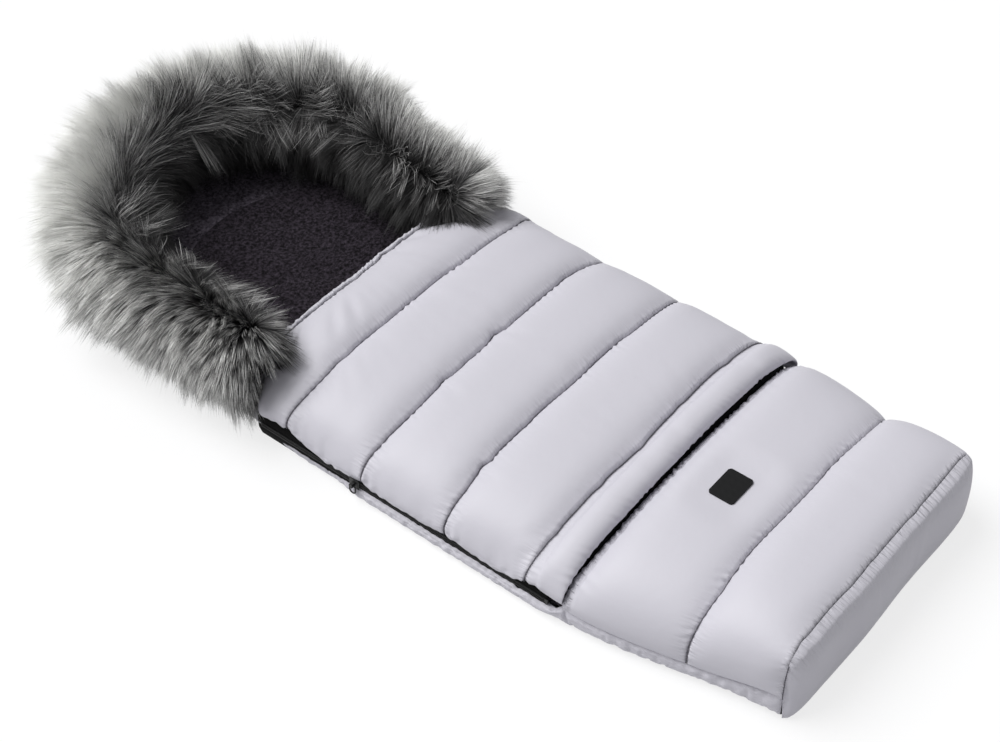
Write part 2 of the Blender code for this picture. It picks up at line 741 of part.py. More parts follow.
def build_stops():
    """Little blocks at the side zips' ends, which the sliders run up against."""
    bottom_y = ZIP_Y + CROSS_GAP + TAPE_END - GAP - STOP_LENGTH
    top_y = ZIP_TOP_Y - TAPE_END + GAP
    near, far = ROW_GAP / 2, ROW_GAP / 2 + BEAD_WIDTH
    kinds = (
        ("bottom_stop", None, bottom_y, -far, far),
        ("top_stop_shell", None, top_y, -far, -near),
        ("top_stop_cover", cover_hinge, top_y, near, far),
    )
    for kind, parent, y, low, high in kinds:
        for name, side in SIDES:
            corner = (side * (HALF_WIDTH + CHAIN_BACK), y, CHAIN_HEIGHT + low)
            opposite = (side * (HALF_WIDTH + CHAIN_FRONT), y + STOP_LENGTH, CHAIN_HEIGHT + high)
            block = box_object(f"{name}_zip_{kind}", corner, opposite)
            link(shade(block, 30), zip_metal, parent)


def build_label():
    """Bare label with clipped corners, sewn on the foot panel and following its crown."""
    width, length, thickness = LABEL_SIZE
    x0, y0 = LABEL_CENTRE
    inner = length / 2 - LABEL_CORNER
    rows = [(-length / 2, LABEL_CORNER), (-inner - LABEL_CORNER / 2, LABEL_CORNER / 4)]
    rows += [(y, 0.0) for y in spread(-inner, inner, 4)]
    rows += [(-y, inset) for y, inset in rows[1::-1]]
    rings = []
    for y, inset in rows:
        bottom = []
        for x in spread(x0 - width / 2 + inset, x0 + width / 2 - inset, 5):
            height = arch_height(x, half_width(y0 + y), FABRIC_BASE, foot_height(y0 + y))
            bottom.append((x, y0 + y, height + GAP))
        rings.append(bottom + [(x, there, z + thickness) for x, there, z in reversed(bottom)])
    loft("label_patch", rings, label_black)


def cut_harness_slits(layers):
    """Slits through the back for the harness, each lined with a woven binding."""
    x, low, high = SHOULDER_SLIT
    half = SLIT_WIDTH / 2
    slits = {
        "left_harness_slit": (-x, low, high),
        "right_harness_slit": (x, low, high),
        "crotch_slit": (0.0, *CROTCH_SLIT),
    }
    below, above = -SHELL_FLOOR, PAD_TOP + SHELL_FLOOR
    grow = BINDING + GAP
    for name, (x, y0, y1) in slits.items():
        cut = (x - half - grow, y0 - grow, below), (x + half + grow, y1 + grow, above)
        cutter = link_helper(box_object(f"{name}_cut", *cut))
        for layer in layers:
            boolean(layer, cutter, "DIFFERENCE")
        corner = (x - half - BINDING, y0 - BINDING, BINDING_RAISE)
        opposite = (x + half + BINDING, y1 + BINDING, PAD_TOP + BINDING_RAISE)
        binding = link(shade(box_object(f"{name}_binding", corner, opposite), 30), webbing)
        bore = box_object(f"{name}_bore", (x - half, y0, below), (x + half, y1, above))
        boolean(binding, link_helper(bore), "DIFFERENCE")


def joint_empty(name, position, parent=None):
    """An empty on a joint's axis, which carries the pieces of one moving body."""
    empty = bpy.data.objects.new(name, None)
    empty.empty_display_size = PULL_LENGTH
    parts.objects.link(empty)
    empty.parent = parent or frame
    start = Vector(parent["place"]) if parent else Vector()
    empty.location = Vector(position) - start
    empty["place"] = position
    return empty


SIDES = (("left", -1), ("right", 1))

clear_scene()
parts = bpy.data.collections.new("winter_footmuff")
helpers = bpy.data.collections.new("cutters")
bpy.context.scene.collection.children.link(parts)
bpy.context.scene.collection.children.link(helpers)
frame = bpy.data.objects.new("footmuff_frame", None)
parts.objects.link(frame)
frame.location = (0, -origin_y(), 0)

satin = make_material("satin_nylon_light_grey", (0.66, 0.65, 0.70), 0.42)
fleece = make_material("charcoal_fleece", (0.020, 0.017, 0.023), 0.95)
fur = make_material("grey_faux_fur", (0.10, 0.10, 0.098), 0.8)
zip_black = make_material("black_zip_polyester", (0.012, 0.012, 0.013), 0.6)
zip_metal = make_material("black_lacquered_zinc", (0.02, 0.02, 0.021), 0.35, 0.6)
label_black = make_material("black_label_rubber", (0.010, 0.010, 0.011), 0.55)
webbing = make_material("black_binding_webbing", (0.015, 0.015, 0.016), 0.8)

cover_hinge = joint_empty("cover_hinge", (0, ZIP_Y, HINGE_HEIGHT))
collar_hinge = joint_empty("collar_hinge", (0, FUR_END_Y - FUR_NOSE, COLLAR_AXIS_HEIGHT))

back_layers = [build_back_shell(), build_inner_lining(), build_seat_pad()]
cut_harness_slits(back_layers)
build_foot_box()
build_gusset()
build_cover()
build_cover_lining()
build_hood()
build_collar()
build_side_zips()
build_cross_zip()
build_sliders()
build_stops()
build_label()

bpy.context.view_layer.update()
for item in parts.objects:
    if item.type == "EMPTY" and item is not frame:
        print(item.name, [round(value, 6) for value in item.matrix_world.translation])
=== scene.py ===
# %% [markdown]
# # A winter footmuff for a pushchair
# The frame holds the hard facts: where every piece lies, and what moves with what. This lesson dresses
# it. The fabric skins are cut flat, sewn along their seams and stuffed, so that they pucker by
# themselves; the zips get their teeth one by one, and the collar its fur hair by hair.

# %% The frame
import math

import bpy
import numpy as np
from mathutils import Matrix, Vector, kdtree


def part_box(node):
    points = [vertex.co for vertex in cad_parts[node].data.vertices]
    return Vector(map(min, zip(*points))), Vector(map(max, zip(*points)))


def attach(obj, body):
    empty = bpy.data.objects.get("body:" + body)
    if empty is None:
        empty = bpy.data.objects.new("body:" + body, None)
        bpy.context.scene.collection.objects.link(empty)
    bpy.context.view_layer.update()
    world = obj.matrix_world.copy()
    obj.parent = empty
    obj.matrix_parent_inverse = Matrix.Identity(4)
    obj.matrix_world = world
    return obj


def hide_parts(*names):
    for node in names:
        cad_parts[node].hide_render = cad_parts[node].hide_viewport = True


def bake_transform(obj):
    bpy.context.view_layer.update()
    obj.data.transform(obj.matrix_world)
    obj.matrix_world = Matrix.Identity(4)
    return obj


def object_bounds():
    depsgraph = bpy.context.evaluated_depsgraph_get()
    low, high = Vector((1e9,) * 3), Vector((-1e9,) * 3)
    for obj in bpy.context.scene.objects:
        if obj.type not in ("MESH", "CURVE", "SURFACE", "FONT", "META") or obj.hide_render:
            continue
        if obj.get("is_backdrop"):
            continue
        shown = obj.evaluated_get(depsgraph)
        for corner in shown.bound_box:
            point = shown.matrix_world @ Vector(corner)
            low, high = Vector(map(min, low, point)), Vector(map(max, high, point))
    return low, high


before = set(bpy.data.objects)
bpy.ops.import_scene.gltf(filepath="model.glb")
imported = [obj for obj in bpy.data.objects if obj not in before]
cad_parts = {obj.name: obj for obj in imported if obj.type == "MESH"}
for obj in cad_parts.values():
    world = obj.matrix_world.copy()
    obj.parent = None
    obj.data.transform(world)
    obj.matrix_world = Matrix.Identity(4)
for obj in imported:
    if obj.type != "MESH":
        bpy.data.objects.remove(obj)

cad_low, cad_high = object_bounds()
print("CAD box", [round(v, 3) for v in (*cad_low, *cad_high)])

# %% [markdown]
# ## Measures
# A footmuff is cut from a pattern, and the pattern starts at the seam at the toes. So every length
# along the bag counts from there, `along` is zero at that seam, and only the last step of making a
# mesh moves it into the frame. The seams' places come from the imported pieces.

# %% Measures along and across the bag
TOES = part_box("foot_panel")[0].y
GAP_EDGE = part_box("foot_panel")[1].y - TOES
ROLL_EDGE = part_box("cover_roll")[0].y - TOES
SEAM_4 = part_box("cover_panel")[0].y - TOES
SEAM_1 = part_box("cover_panel")[1].y - TOES
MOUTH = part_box("mouth_panel")[1].y - TOES
CROSS_ZIP = (GAP_EDGE + ROLL_EDGE) / 2
ZIP_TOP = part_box("left_zip_top_stop_shell")[1].y - TOES
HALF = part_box("cover_panel")[1].x
TOE_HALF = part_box("foot_end_gusset")[1].x
PAD_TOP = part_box("seat_pad")[1].z
PAD_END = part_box("seat_pad")[1].y - TOES
PAD_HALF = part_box("seat_pad")[1].x
HOOD_HALF = 0.200
HOOD_CENTRE = 0.850
HORSESHOE = 0.188
FUR_END = 0.695
print("seams", [round(v, 4) for v in (GAP_EDGE, ROLL_EDGE, SEAM_4, SEAM_1, MOUTH)])


def smooth(share):
    share = np.clip(share, 0.0, 1.0)
    return share * share * (3 - 2 * share)


def bag_half(y):
    """Half width of the bag: narrower at the toes, a little narrower at the hood, round at the head."""
    y = np.asarray(y, float)
    foot = smooth((y + 0.02) / (CROSS_ZIP + 0.02))
    hood = smooth((y - ZIP_TOP) / (FUR_END - ZIP_TOP))
    half = TOE_HALF + (HALF - TOE_HALF) * foot + (HOOD_HALF - HALF) * hood
    round_end = np.sqrt(np.clip(HOOD_HALF**2 - (y - HOOD_CENTRE) ** 2, 0, None))
    return np.where(y > HOOD_CENTRE, round_end, half)


# %% [markdown]
# ## From rows of points to a mesh
# Every skin here is a grid: rows of points along the bag, columns across it. A grid is easy to cut,
# to sew and to refine, and its faces follow the fabric's own threads. The UV map `cloth` holds
# metres on the flat fabric, so that gathers can run along the cloth and not along the axes.


# %% Grids and meshes
def length(v):
    return np.sqrt((v * v).sum(-1))


def refine(points):
    """Twice as many rows and columns, by a curve that keeps going through the old points."""
    for _ in range(2):
        padded = np.concatenate([2 * points[:1] - points[1:2], points, 2 * points[-1:] - points[-2:-1]])
        middle = (9 * (padded[1:-2] + padded[2:-1]) - padded[:-3] - padded[3:]) / 16
        finer = np.empty((2 * len(points) - 1, *points.shape[1:]))
        finer[::2], finer[1::2] = points, middle
        points = finer.transpose(1, 0, 2)
    return points


# %% Meshes in the frame
def mesh_object(name, points, faces, body, material, uv=None):
    """A mesh in the frame, from points that count along the bag from the toes."""
    mesh = bpy.data.meshes.new(name)
    points = points + np.array((0.0, TOES, 0.0))
    size = faces.shape[1]
    mesh.vertices.add(len(points))
    mesh.vertices.foreach_set("co", points.astype(np.float32).ravel())
    mesh.loops.add(faces.size)
    mesh.loops.foreach_set("vertex_index", faces.astype(np.int32).ravel())
    mesh.polygons.add(len(faces))
    mesh.polygons.foreach_set("loop_start", np.arange(0, faces.size, size, dtype=np.int32))
    mesh.update(calc_edges=True)
    if uv is not None:
        layer = mesh.uv_layers.new(name="cloth")
        layer.data.foreach_set("uv", uv[faces.ravel()].astype(np.float32).ravel())
    mesh.shade_smooth()
    mesh.materials.append(material)
    made = bpy.data.objects.new(name, mesh)
    bpy.context.scene.collection.objects.link(made)
    if body:
        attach(made, body)
    return made


def grid_object(name, points, body, material, keep=None, closed=False):
    """A grid as a mesh. keep says which cells stay, and closed joins the last column to the first."""
    rows, cols = points.shape[:2]
    index = np.arange(rows * cols).reshape(rows, cols)
    if closed:
        index = np.concatenate([index, index[:, :1]], 1)
    cells = np.stack([index[:-1, :-1], index[:-1, 1:], index[1:, 1:], index[1:, :-1]], -1)
    cells = cells[keep] if keep is not None else cells.reshape(-1, 4)
    run_u = np.zeros((rows, cols))
    run_v = np.zeros((rows, cols))
    run_u[:, 1:] = np.cumsum(length(np.diff(points, axis=1)).mean(0))
    run_v[1:] = np.cumsum(length(np.diff(points, axis=0)).mean(1))[:, None]
    uv = np.stack([run_u, run_v], -1).reshape(-1, 2)
    return mesh_object(name, points.reshape(-1, 3), cells, body, material, uv)


# %% [markdown]
# ## Materials
# Real materials first: a name, how the surface was made, and what that does to the light. The colours
# are read off the photograph's mid tones as sRGB and turned linear by one function. One small
# function adds a node with its settings and its links, and every material is built with it.


# %% Material helpers
def linear(hex_colour):
    """Linear RGBA of an sRGB colour such as d6d4da."""
    values = [int(hex_colour[i:i + 2], 16) / 255 for i in (0, 2, 4)]
    return (*(v / 12.92 if v <= 0.04045 else ((v + 0.055) / 1.055) ** 2.4 for v in values), 1.0)


def new_material(name, colour, roughness, ior=1.5, metallic=0.0, **more):
    material = bpy.data.materials.new(name)
    material.use_nodes = True
    shader = material.node_tree.nodes["Principled BSDF"]
    settings = {"Base Color": linear(colour), "Roughness": roughness, "IOR": ior, "Metallic": metallic}
    for socket, value in {**settings, **more}.items():
        shader.inputs[socket].default_value = value
    return material


def add(material, kind, values=(), links=(), **settings):
    """A new node: its settings, the values of its inputs, and links into them."""
    made = material.node_tree.nodes.new(kind)
    for key, value in settings.items():
        setattr(made, key, value)
    for key, value in dict(values).items():
        made.inputs[key].default_value = value
    for key, source in dict(links).items():
        material.node_tree.links.new(source, made.inputs[key])
    return made


def plug(material, socket, source):
    shader = material.node_tree.nodes["Principled BSDF"]
    material.node_tree.links.new(source, shader.inputs[socket])


# %% [markdown]
# ### Downproof nylon
# The shell is a tightly woven nylon, calendered: hot rollers press the threads flat, so that no
# filling gets through. That leaves a smooth face with a broad, soft sheen. Nylon's IOR is 1.53.
# The threads are a tenth of a millimetre, far below a pixel here, so they are left to the roughness;
# what the eye does see are soft dents in the cloth, about a centimetre wide, which a bump draws.

# %% Nylon
DENT = 0.0105
satin = new_material("satin_nylon", "cac8d0", 0.56, ior=1.53)
dents = add(
    satin, "ShaderNodeTexNoise", {"Scale": 1 / DENT, "Detail": 3.0, "Roughness": 0.55},
    {"Vector": add(satin, "ShaderNodeTexCoord").outputs["Object"]},
)
soft_dents = add(
    satin, "ShaderNodeBump", {"Strength": 0.25, "Distance": 0.0010}, {"Height": dents.outputs["Fac"]}
)
print(satin.name, "with dents", DENT, "m wide")

# %% [markdown]
# Beside a seam the cloth has hair-fine gathers, 3 to 4 mm apart, that run straight away from it. They
# are drawn as a second bump: noise stretched along the threads, with the `seam` value of each point
# of the skin as its strength.

# %% Gathers in the nylon
GATHER_WIDTH, GATHER_LENGTH = 0.00333, 0.0217
cloth = add(satin, "ShaderNodeUVMap", uv_map="cloth")
drawn_out = add(
    satin, "ShaderNodeMapping", {"Scale": (1 / GATHER_WIDTH, 1 / GATHER_LENGTH, 1.0)},
    {"Vector": cloth.outputs["UV"]},
)
fine_gathers = add(
    satin, "ShaderNodeTexNoise", {"Scale": 1.0, "Detail": 1.5, "Roughness": 0.5, "Distortion": 0.3},
    {"Vector": drawn_out.outputs["Vector"]},
)
near_seam = add(satin, "ShaderNodeAttribute", attribute_name="seam")
plug(satin, "Normal", add(
    satin, "ShaderNodeBump", {"Distance": 0.0045},
    {
        "Height": fine_gathers.outputs["Fac"], "Strength": near_seam.outputs["Fac"],
        "Normal": soft_dents.outputs["Normal"],
    },
).outputs["Normal"])
print("gathers", GATHER_WIDTH, "m apart")

# %% [markdown]
# ### Fleece and lining
# Polyester fleece is a knit whose loops are torn open by wire brushes and then sheared. Hardly any
# fibre lies flat, so it has no highlight, only a faint pale edge where light grazes it: that is what
# the sheen layer does. Its pile clings together in tufts some 4 mm wide, and one noise draws both their
# bump and their tone: the pile's own uneven colour, and painted shade, dark between the tufts and paler
# on top. The lining of the back and of the hood is a paler copy of the same fleece: painted light, which
# lifts it where it lies in the collar's shade.

# %% Fleece
TUFT = 0.00385
fleece = new_material("charcoal_fleece", "2c272d", 1.0, ior=1.5, **{
    "Sheen Weight": 0.18, "Sheen Roughness": 0.5, "Sheen Tint": linear("8a8490"),
    "Specular IOR Level": 0.1,
})
pile = add(
    fleece, "ShaderNodeTexNoise", {"Scale": 1 / TUFT, "Detail": 4.0, "Roughness": 0.75},
    {"Vector": add(fleece, "ShaderNodeTexCoord").outputs["Object"]},
)
plug(fleece, "Normal", add(
    fleece, "ShaderNodeBump", {"Strength": 0.8, "Distance": 0.0015}, {"Height": pile.outputs["Fac"]}
).outputs["Normal"])
# The tone follows the bump's noise: the pile's own uneven colour, and painted shade, darker between the
# tufts.
pile_tone_and_shade = add(fleece, "ShaderNodeValToRGB", {}, {"Fac": pile.outputs["Fac"]})
pile_tone_and_shade.color_ramp.elements[0].position = 0.40
pile_tone_and_shade.color_ramp.elements[0].color = linear("060506")
pile_tone_and_shade.color_ramp.elements[1].position = 0.66
pile_tone_and_shade.color_ramp.elements[1].color = linear("3d373f")
plug(fleece, "Base Color", pile_tone_and_shade.outputs["Color"])

# A paler copy of the same fleece for the back's lining and the hood wall: painted light against the collar's
# shade.
fleece_painted_paler = fleece.copy()
fleece_painted_paler.name = "charcoal_fleece_painted_light"
painted_light_ramp = next(node for node in fleece_painted_paler.node_tree.nodes if node.type == "VALTORGB").color_ramp
painted_light_ramp.elements[0].color = linear("2a262c")
painted_light_ramp.elements[1].color = linear("756e79")
print(fleece.name, fleece_painted_paler.name, "with tufts", TUFT, "m wide")

# %% [markdown]
# ### Zip tape, coil, lacquer and cord
# The tape is woven polyester, matt; the coil is a nylon monofilament, smoother. The sliders are cast
# zinc under black lacquer, and the pulls are cord dipped in rubber.

# %% Zip materials
tape_black = new_material("zip_tape", "050505", 0.95, ior=1.57, **{"Specular IOR Level": 0.15})
coil_black = new_material("zip_coil", "09090a", 0.5, ior=1.53)
lacquer = new_material(
    "black_lacquer", "050506", 0.5, ior=1.5, **{"Coat Weight": 0.08, "Coat Roughness": 0.3}
)
cord_black = new_material("dipped_cord", "050506", 0.6, ior=1.52)
label_black = new_material("bare_label", "070709", 0.7, ior=1.52, **{"Specular IOR Level": 0.3})
webbing = new_material("binding_webbing", "151517", 0.9, ior=1.57)
print("zip materials", [made.name for made in (tape_black, coil_black, lacquer, cord_black)])

# %% [markdown]
# Tape, webbing and the label are woven from thick yarn, some 0.7 mm from thread to thread. That is
# finer than a pixel here, so the bump draws the cloth far coarser, as ribs 9 to 10 mm apart: two
# crossing wave textures, one for the warp and one for the weft. A wave texture repeats each time that
# 20 times its scaled coordinate has gone through a full turn, and its scale is worked out from that.

# %% Weave of the narrow goods
TURN = 2 * math.pi
for woven, rib, depth in (
    (tape_black, 0.0088, 0.0003), (webbing, 0.01005, 0.0004), (label_black, 0.0088, 0.0002),
):
    place = add(woven, "ShaderNodeTexCoord").outputs["Object"]
    settings = {"Scale": TURN / (rib * 20), "Distortion": 0.4, "Detail": 1.0}
    warp, weft = [
        add(
            woven, "ShaderNodeTexWave", settings, {"Vector": place},
            wave_type="BANDS", bands_direction=way, wave_profile="SIN",
        ).outputs["Fac"]
        for way in ("X", "Y")
    ]
    crossed = add(woven, "ShaderNodeMath", {}, {0: warp, 1: weft}, operation="MULTIPLY")
    plug(woven, "Normal", add(
        woven, "ShaderNodeBump", {"Strength": 0.6, "Distance": depth}, {"Height": crossed.outputs[0]}
    ).outputs["Normal"])
    print(woven.name, "ribs", rib, "m apart")

# %% [markdown]
# ## Sewing and stuffing a skin
# A quilted channel looks as it does because the cloth is longer than its seams: the flat pattern is
# as long as the way over the crown, and at the seam the same cloth is gathered into less room. So
# the skin isn't sculpted. It starts as the clean arched shape, every thread is given the length it
# has in the flat pattern, the seams are held, the filling pushes from inside, and a few hundred small
# corrections bring each thread back to its length. The puckers come out where the cloth has to go.


# %% Threads
def face_normals(points):
    across = np.empty_like(points)
    along = np.empty_like(points)
    across[:, 1:-1] = points[:, 2:] - points[:, :-2]
    across[:, 0], across[:, -1] = points[:, 1] - points[:, 0], points[:, -1] - points[:, -2]
    along[1:-1] = points[2:] - points[:-2]
    along[0], along[-1] = points[1] - points[0], points[-1] - points[-2]
    normal = np.cross(across, along)
    return normal / np.maximum(length(normal), 1e-12)[..., None]


def thread_families(rows, cols):
    """Pairs of neighbouring points, in families in which no point comes twice."""
    every = slice(None)
    for k in (0, 1):
        yield "across", (every, slice(k, cols - 1, 2)), (every, slice(k + 1, cols, 2))
        yield "along", (slice(k, rows - 1, 2), every), (slice(k + 1, rows, 2), every)
        yield "bias", (slice(k, rows - 1, 2), slice(0, cols - 1)), (slice(k + 1, rows, 2), slice(1, cols))
        yield "bias", (slice(k, rows - 1, 2), slice(1, cols)), (slice(k + 1, rows, 2), slice(0, cols - 1))


def threads(points):
    """Lengths of the threads of a grid as it lies: across, and along."""
    return length(np.diff(points, axis=1)), length(np.diff(points, axis=0))


# %% The stuffing solver
def stuff(
    points, held, across, along, push=2.4e-5, soft=0.045, rounds=380, reach=0.012, seed=1, ironed=0
):
    """Fill a sewn skin. across and along are the flat lengths of its threads, cell by cell. ironed is
    how many times each point's move is evened out with its neighbours' at the end."""
    start = points
    free = (~held).astype(float)
    noise = np.random.default_rng(seed).normal(size=held.shape) * 0.0006
    points = points + face_normals(points) * (noise * free)[..., None]
    bias = np.hypot((across[:-1] + across[1:]) / 2, (along[:, :-1] + along[:, 1:]) / 2)
    families = []
    for kind, a, b in thread_families(*held.shape):
        rest = {"across": across, "along": along}[kind][a] if kind != "bias" else bias[a[0]]
        total = np.maximum(free[a] + free[b], 1.0)
        give = 0.6 if kind == "bias" else 1.0
        take_a = (give * free[a] / total)[..., None]
        take_b = (give * free[b] / total)[..., None]
        families.append((a, b, rest, take_a, take_b))
    for turn in range(rounds):
        if turn % 4 == 0:
            normal = face_normals(points)
        points += normal * (push * free)[..., None]
        inner = points[1:-1, 1:-1]
        mean = (points[2:, 1:-1] + points[:-2, 1:-1] + points[1:-1, 2:] + points[1:-1, :-2]) / 4
        inner += (mean - inner) * (soft * free[1:-1, 1:-1])[..., None]
        for a, b, rest, take_a, take_b in families:
            thread = points[b] - points[a]
            now = length(thread)
            fix = thread * ((now - rest) / np.maximum(now, 1e-9))[..., None]
            points[a] += fix * take_a
            points[b] -= fix * take_b
        if turn % 20 == 19:
            off = points - start
            far = length(off)
            points = start + off * np.minimum(1.0, reach / np.maximum(far, 1e-9))[..., None]
    off = points - start
    for _ in range(ironed):
        mean = (off[2:, 1:-1] + off[:-2, 1:-1] + off[1:-1, 2:] + off[1:-1, :-2]) / 4
        off[1:-1, 1:-1] += (mean - off[1:-1, 1:-1]) * free[1:-1, 1:-1, None]
    return start + off


# %% [markdown]
# ## The arched skins: cover and foot box
# Across, both are flat-topped arches: nearly upright at the zips, nearly flat on top. A superellipse
# with power 3 is that shape. Points are set at equal steps of length along it, as threads are in
# cloth. The skin turns in under itself at both zips, so that it has an edge and not a knife.


# %% Arches
ACROSS_STEPS = 151
TURN_IN = 3
CELL = 0.0032


def arch(half, base, top, count=ACROSS_STEPS, power=3.0):
    """(x, z) of so many points over an arch, at equal steps, and its whole length."""
    angle = np.linspace(math.pi, 0, 500)
    x = half * np.sign(np.cos(angle)) * np.abs(np.cos(angle)) ** (2 / power)
    z = base + (top - base) * np.abs(np.sin(angle)) ** (2 / power)
    run = np.concatenate([[0], np.cumsum(np.hypot(np.diff(x), np.diff(z)))])
    steps = np.linspace(0, run[-1], count)
    return np.interp(steps, run, x), np.interp(steps, run, z), run[-1]


def arch_power(y):
    """The toe end is boxier than the rest, because the gusset holds it in shape."""
    return 3.0 + 5.5 * float(smooth(1 - y / 0.11))


def swell(share, power=2.3):
    return (1 - np.abs(2 * share - 1) ** power) ** (1 / power)


# %% Rows over the bag
def arched_rows(stations):
    """Rows over the bag. Each station is (y, wander, half width, base, top, crown): its line's place
    and how it strays, the arch there, and the arch that its channel's cloth is cut for."""
    rows, flat = [], []
    for y, stray, half, base, top, crown in stations:
        x, z, _ = arch(half, base, top, power=arch_power(y))
        row = np.stack([x, y + stray, z], -1)
        inward = np.arange(TURN_IN, 0, -1)[:, None] * CELL
        left = np.concatenate([row[0, 0] + inward, np.full((TURN_IN, 1), row[0, 1]), base + 0 * inward], 1)
        right = left[::-1] * (-1, 1, 1)
        right[:, 1] = row[-1, 1]
        rows.append(np.concatenate([left, row, right]))
        flat.append(arch(half, base, crown, power=arch_power(y))[2] / (ACROSS_STEPS - 1))
    return np.array(rows), np.array(flat)


# %% Sewing and filling an arched skin
def puff_sides(points, seams, size):
    """Let the lower sides bulge out over the zip, the more the farther from a seam."""
    amount = np.full(len(points), 0.72)
    for start, end in zip(seams, seams[1:]):
        amount[start:end + 1] += 0.28 * swell(np.linspace(0, 1, end - start + 1))
    above = points[..., 2] - points[:, TURN_IN, 2][:, None]
    shape = np.exp(-(((above - 0.006) / 0.014) ** 2))
    points = points.copy()
    points[..., 0] += np.sign(points[..., 0]) * shape * (amount * size)[:, None]
    return points


def cut_and_stuff(points, flat, seams, ease, sides, gather, also, **settings):
    """Give a sewn arched skin the threads of its flat pattern, hold its seams, and the points that
    `also` marks, and fill it. Of the width that the pattern has over the seam, the share `gather`
    stays as puckers."""
    held = also.copy()
    held[seams] = True
    held[:, :TURN_IN + 1] = held[:, -TURN_IN - 1:] = True
    across, along = threads(points)
    across = (across + np.maximum(flat[:, None] - across, 0) * gather) * (1 + ease)
    along = (along + (along.max(1)[:, None] - along) * sides) * (1 + ease)
    return stuff(points, held, across, along, **settings)


def channel(start, end, heights, half, base, power=2.6):
    """Stations of one stuffed channel between two sewn lines, each given as (y, wander). heights are
    those of the first line, the second line and the crown between them."""
    low, high, crown = heights
    count = max(3, round((end[0] - start[0]) / CELL))
    stations = []
    for i in range(count):
        share = i / count
        y = start[0] + (end[0] - start[0]) * share
        stray = start[1] + (end[1] - start[1]) * share
        lows = low + (high - low) * share
        top = lows + (crown - lows) * float(swell(share, power))
        stations.append((y, stray, half(y), base(y), top, crown))
    return stations


# %% [markdown]
# ### Gathers and creases
# Right at a seam the needle draws the cloth together: short gathers, 6 to 14 mm from one to the next,
# that die out within a centimetre, and between the two channels a narrow crease with the thread at its
# bottom. That crease is the thin dark line of the photograph. Both are finer than the solver's grid,
# so they are added to the refined skin.


# %% Gathers
def rows_beside(points, row, way, count):
    """The rows that follow a sewn line to one side: index, number, and each point's distance."""
    away = np.zeros(points.shape[1])
    for i in range(0 if way > 0 else 1, count):
        at = row + way * i
        if not 0 <= at < len(points):
            return
        if i:
            away = away + length(points[at] - points[at - way])
        yield at, i, away


def gathers(points, rows, size=0.0011, reach=0.007, seed=1, spacing=(0.006, 0.014)):
    """Short waves along these rows, which die out to both sides. Each side has waves of its own."""
    rng = np.random.default_rng(seed)
    run = np.cumsum(length(np.gradient(points, axis=1)), axis=1)
    lift = np.zeros(points.shape[:2])
    for row in rows:
        for way in (-1, 1):
            waves = [(TURN / rng.uniform(*spacing), rng.random() * 6.3) for _ in range(5)]
            slow = [(TURN / rng.uniform(0.04, 0.12), rng.random() * 6.3) for _ in range(3)]
            for at, i, distances in rows_beside(points, row, way, 16):
                away = distances.mean()
                wave = sum(np.sin(run[at] * k + phase + away * 60) for k, phase in waves) / 2.2
                calm = 0.5 + 0.5 * sum(np.sin(run[at] * k + phase) for k, phase in slow) / 2
                fade = math.exp(-away / reach) * min(1, 0.3 + i * 0.5)
                lift[at] += size * wave * np.clip(calm, 0.1, 1.2) * fade
    return points + face_normals(points) * lift[..., None]


# %% Creases
def creases(points, rows, depth=0.0024, reach=0.0008, width=0.0004, fade=0.007):
    """Sink the cloth towards sewn lines in a cusp, with one more row close to each side of the line.
    Returns the points and, for the nylon's gathers, how near to a line each one lies."""
    both = np.concatenate([points, face_normals(points)], -1)
    parts, lines, last = [], [], 0
    for row in rows:
        close = []
        for way in (-1, 1):
            gap = both[row + way] - both[row]
            close.append(both[row] + gap * (width / length(gap[:, :3]).mean()))
        parts += [both[last:row], close[0][None], both[row][None], close[1][None]]
        lines.append(sum(len(part) for part in parts) - 2)
        last = row + 1
    both = np.concatenate([*parts, both[last:]])
    points, normal = both[..., :3], both[..., 3:]
    sink = np.zeros(points.shape[:2])
    near = np.zeros(points.shape[:2])
    for row in lines:
        for way in (-1, 1):
            for at, _, away in rows_beside(points, row, way, 14):
                sink[at] += depth * np.exp(-away / reach)
                near[at] = np.maximum(near[at], np.exp(-away / fade))
    return points - normal * sink[..., None], near


# %% Unevenness, and the mark of a seam
def ripple(points, size, scale, seed):
    """Slow unevenness: a few crossing waves."""
    rng = np.random.default_rng(seed)
    total = np.zeros(points.shape[:-1])
    for k in range(1, 9):
        wave = rng.normal(size=3) / scale
        total += np.sin(points @ wave + rng.random() * 2 * math.pi) / k**0.5
    return total * size / 2


def mark(skin, near):
    """Store how near each point is to a seam, for the nylon's gathers."""
    layer = skin.data.attributes.new("seam", "FLOAT", "POINT")
    layer.data.foreach_set("value", near.astype(np.float32).ravel())
    return skin


# %% [markdown]
# ### The cover
# Four quilted channels and, at the foot, the narrow stuffed roll that hangs over the cross zip. One
# piece of cloth makes them all. At the mouth, a hem is stitched 7 mm from the edge. The cloth beyond
# that line rolls over and is gathered the most, which crumples it as in the photograph.

# %% The cover's width and lower edge
COVER_LOW, COVER_CROWN, MOUTH_CROWN, MOUTH_EDGE = 0.0742, 0.0798, 0.0785, 0.0750
COVER_HEM, OPEN_HEM, ROLL_HEM = 0.0295, 0.0430, 0.0385
UNDER_FUR_HALF = 0.180
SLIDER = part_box("left_zip_slider")[1].y - TOES


def cover_half(y):
    """The cover's half width. Under the fur's lobes it draws in."""
    return float(bag_half(min(y, ZIP_TOP)) - (HALF - UNDER_FUR_HALF) * smooth((y - 0.644) / 0.030))


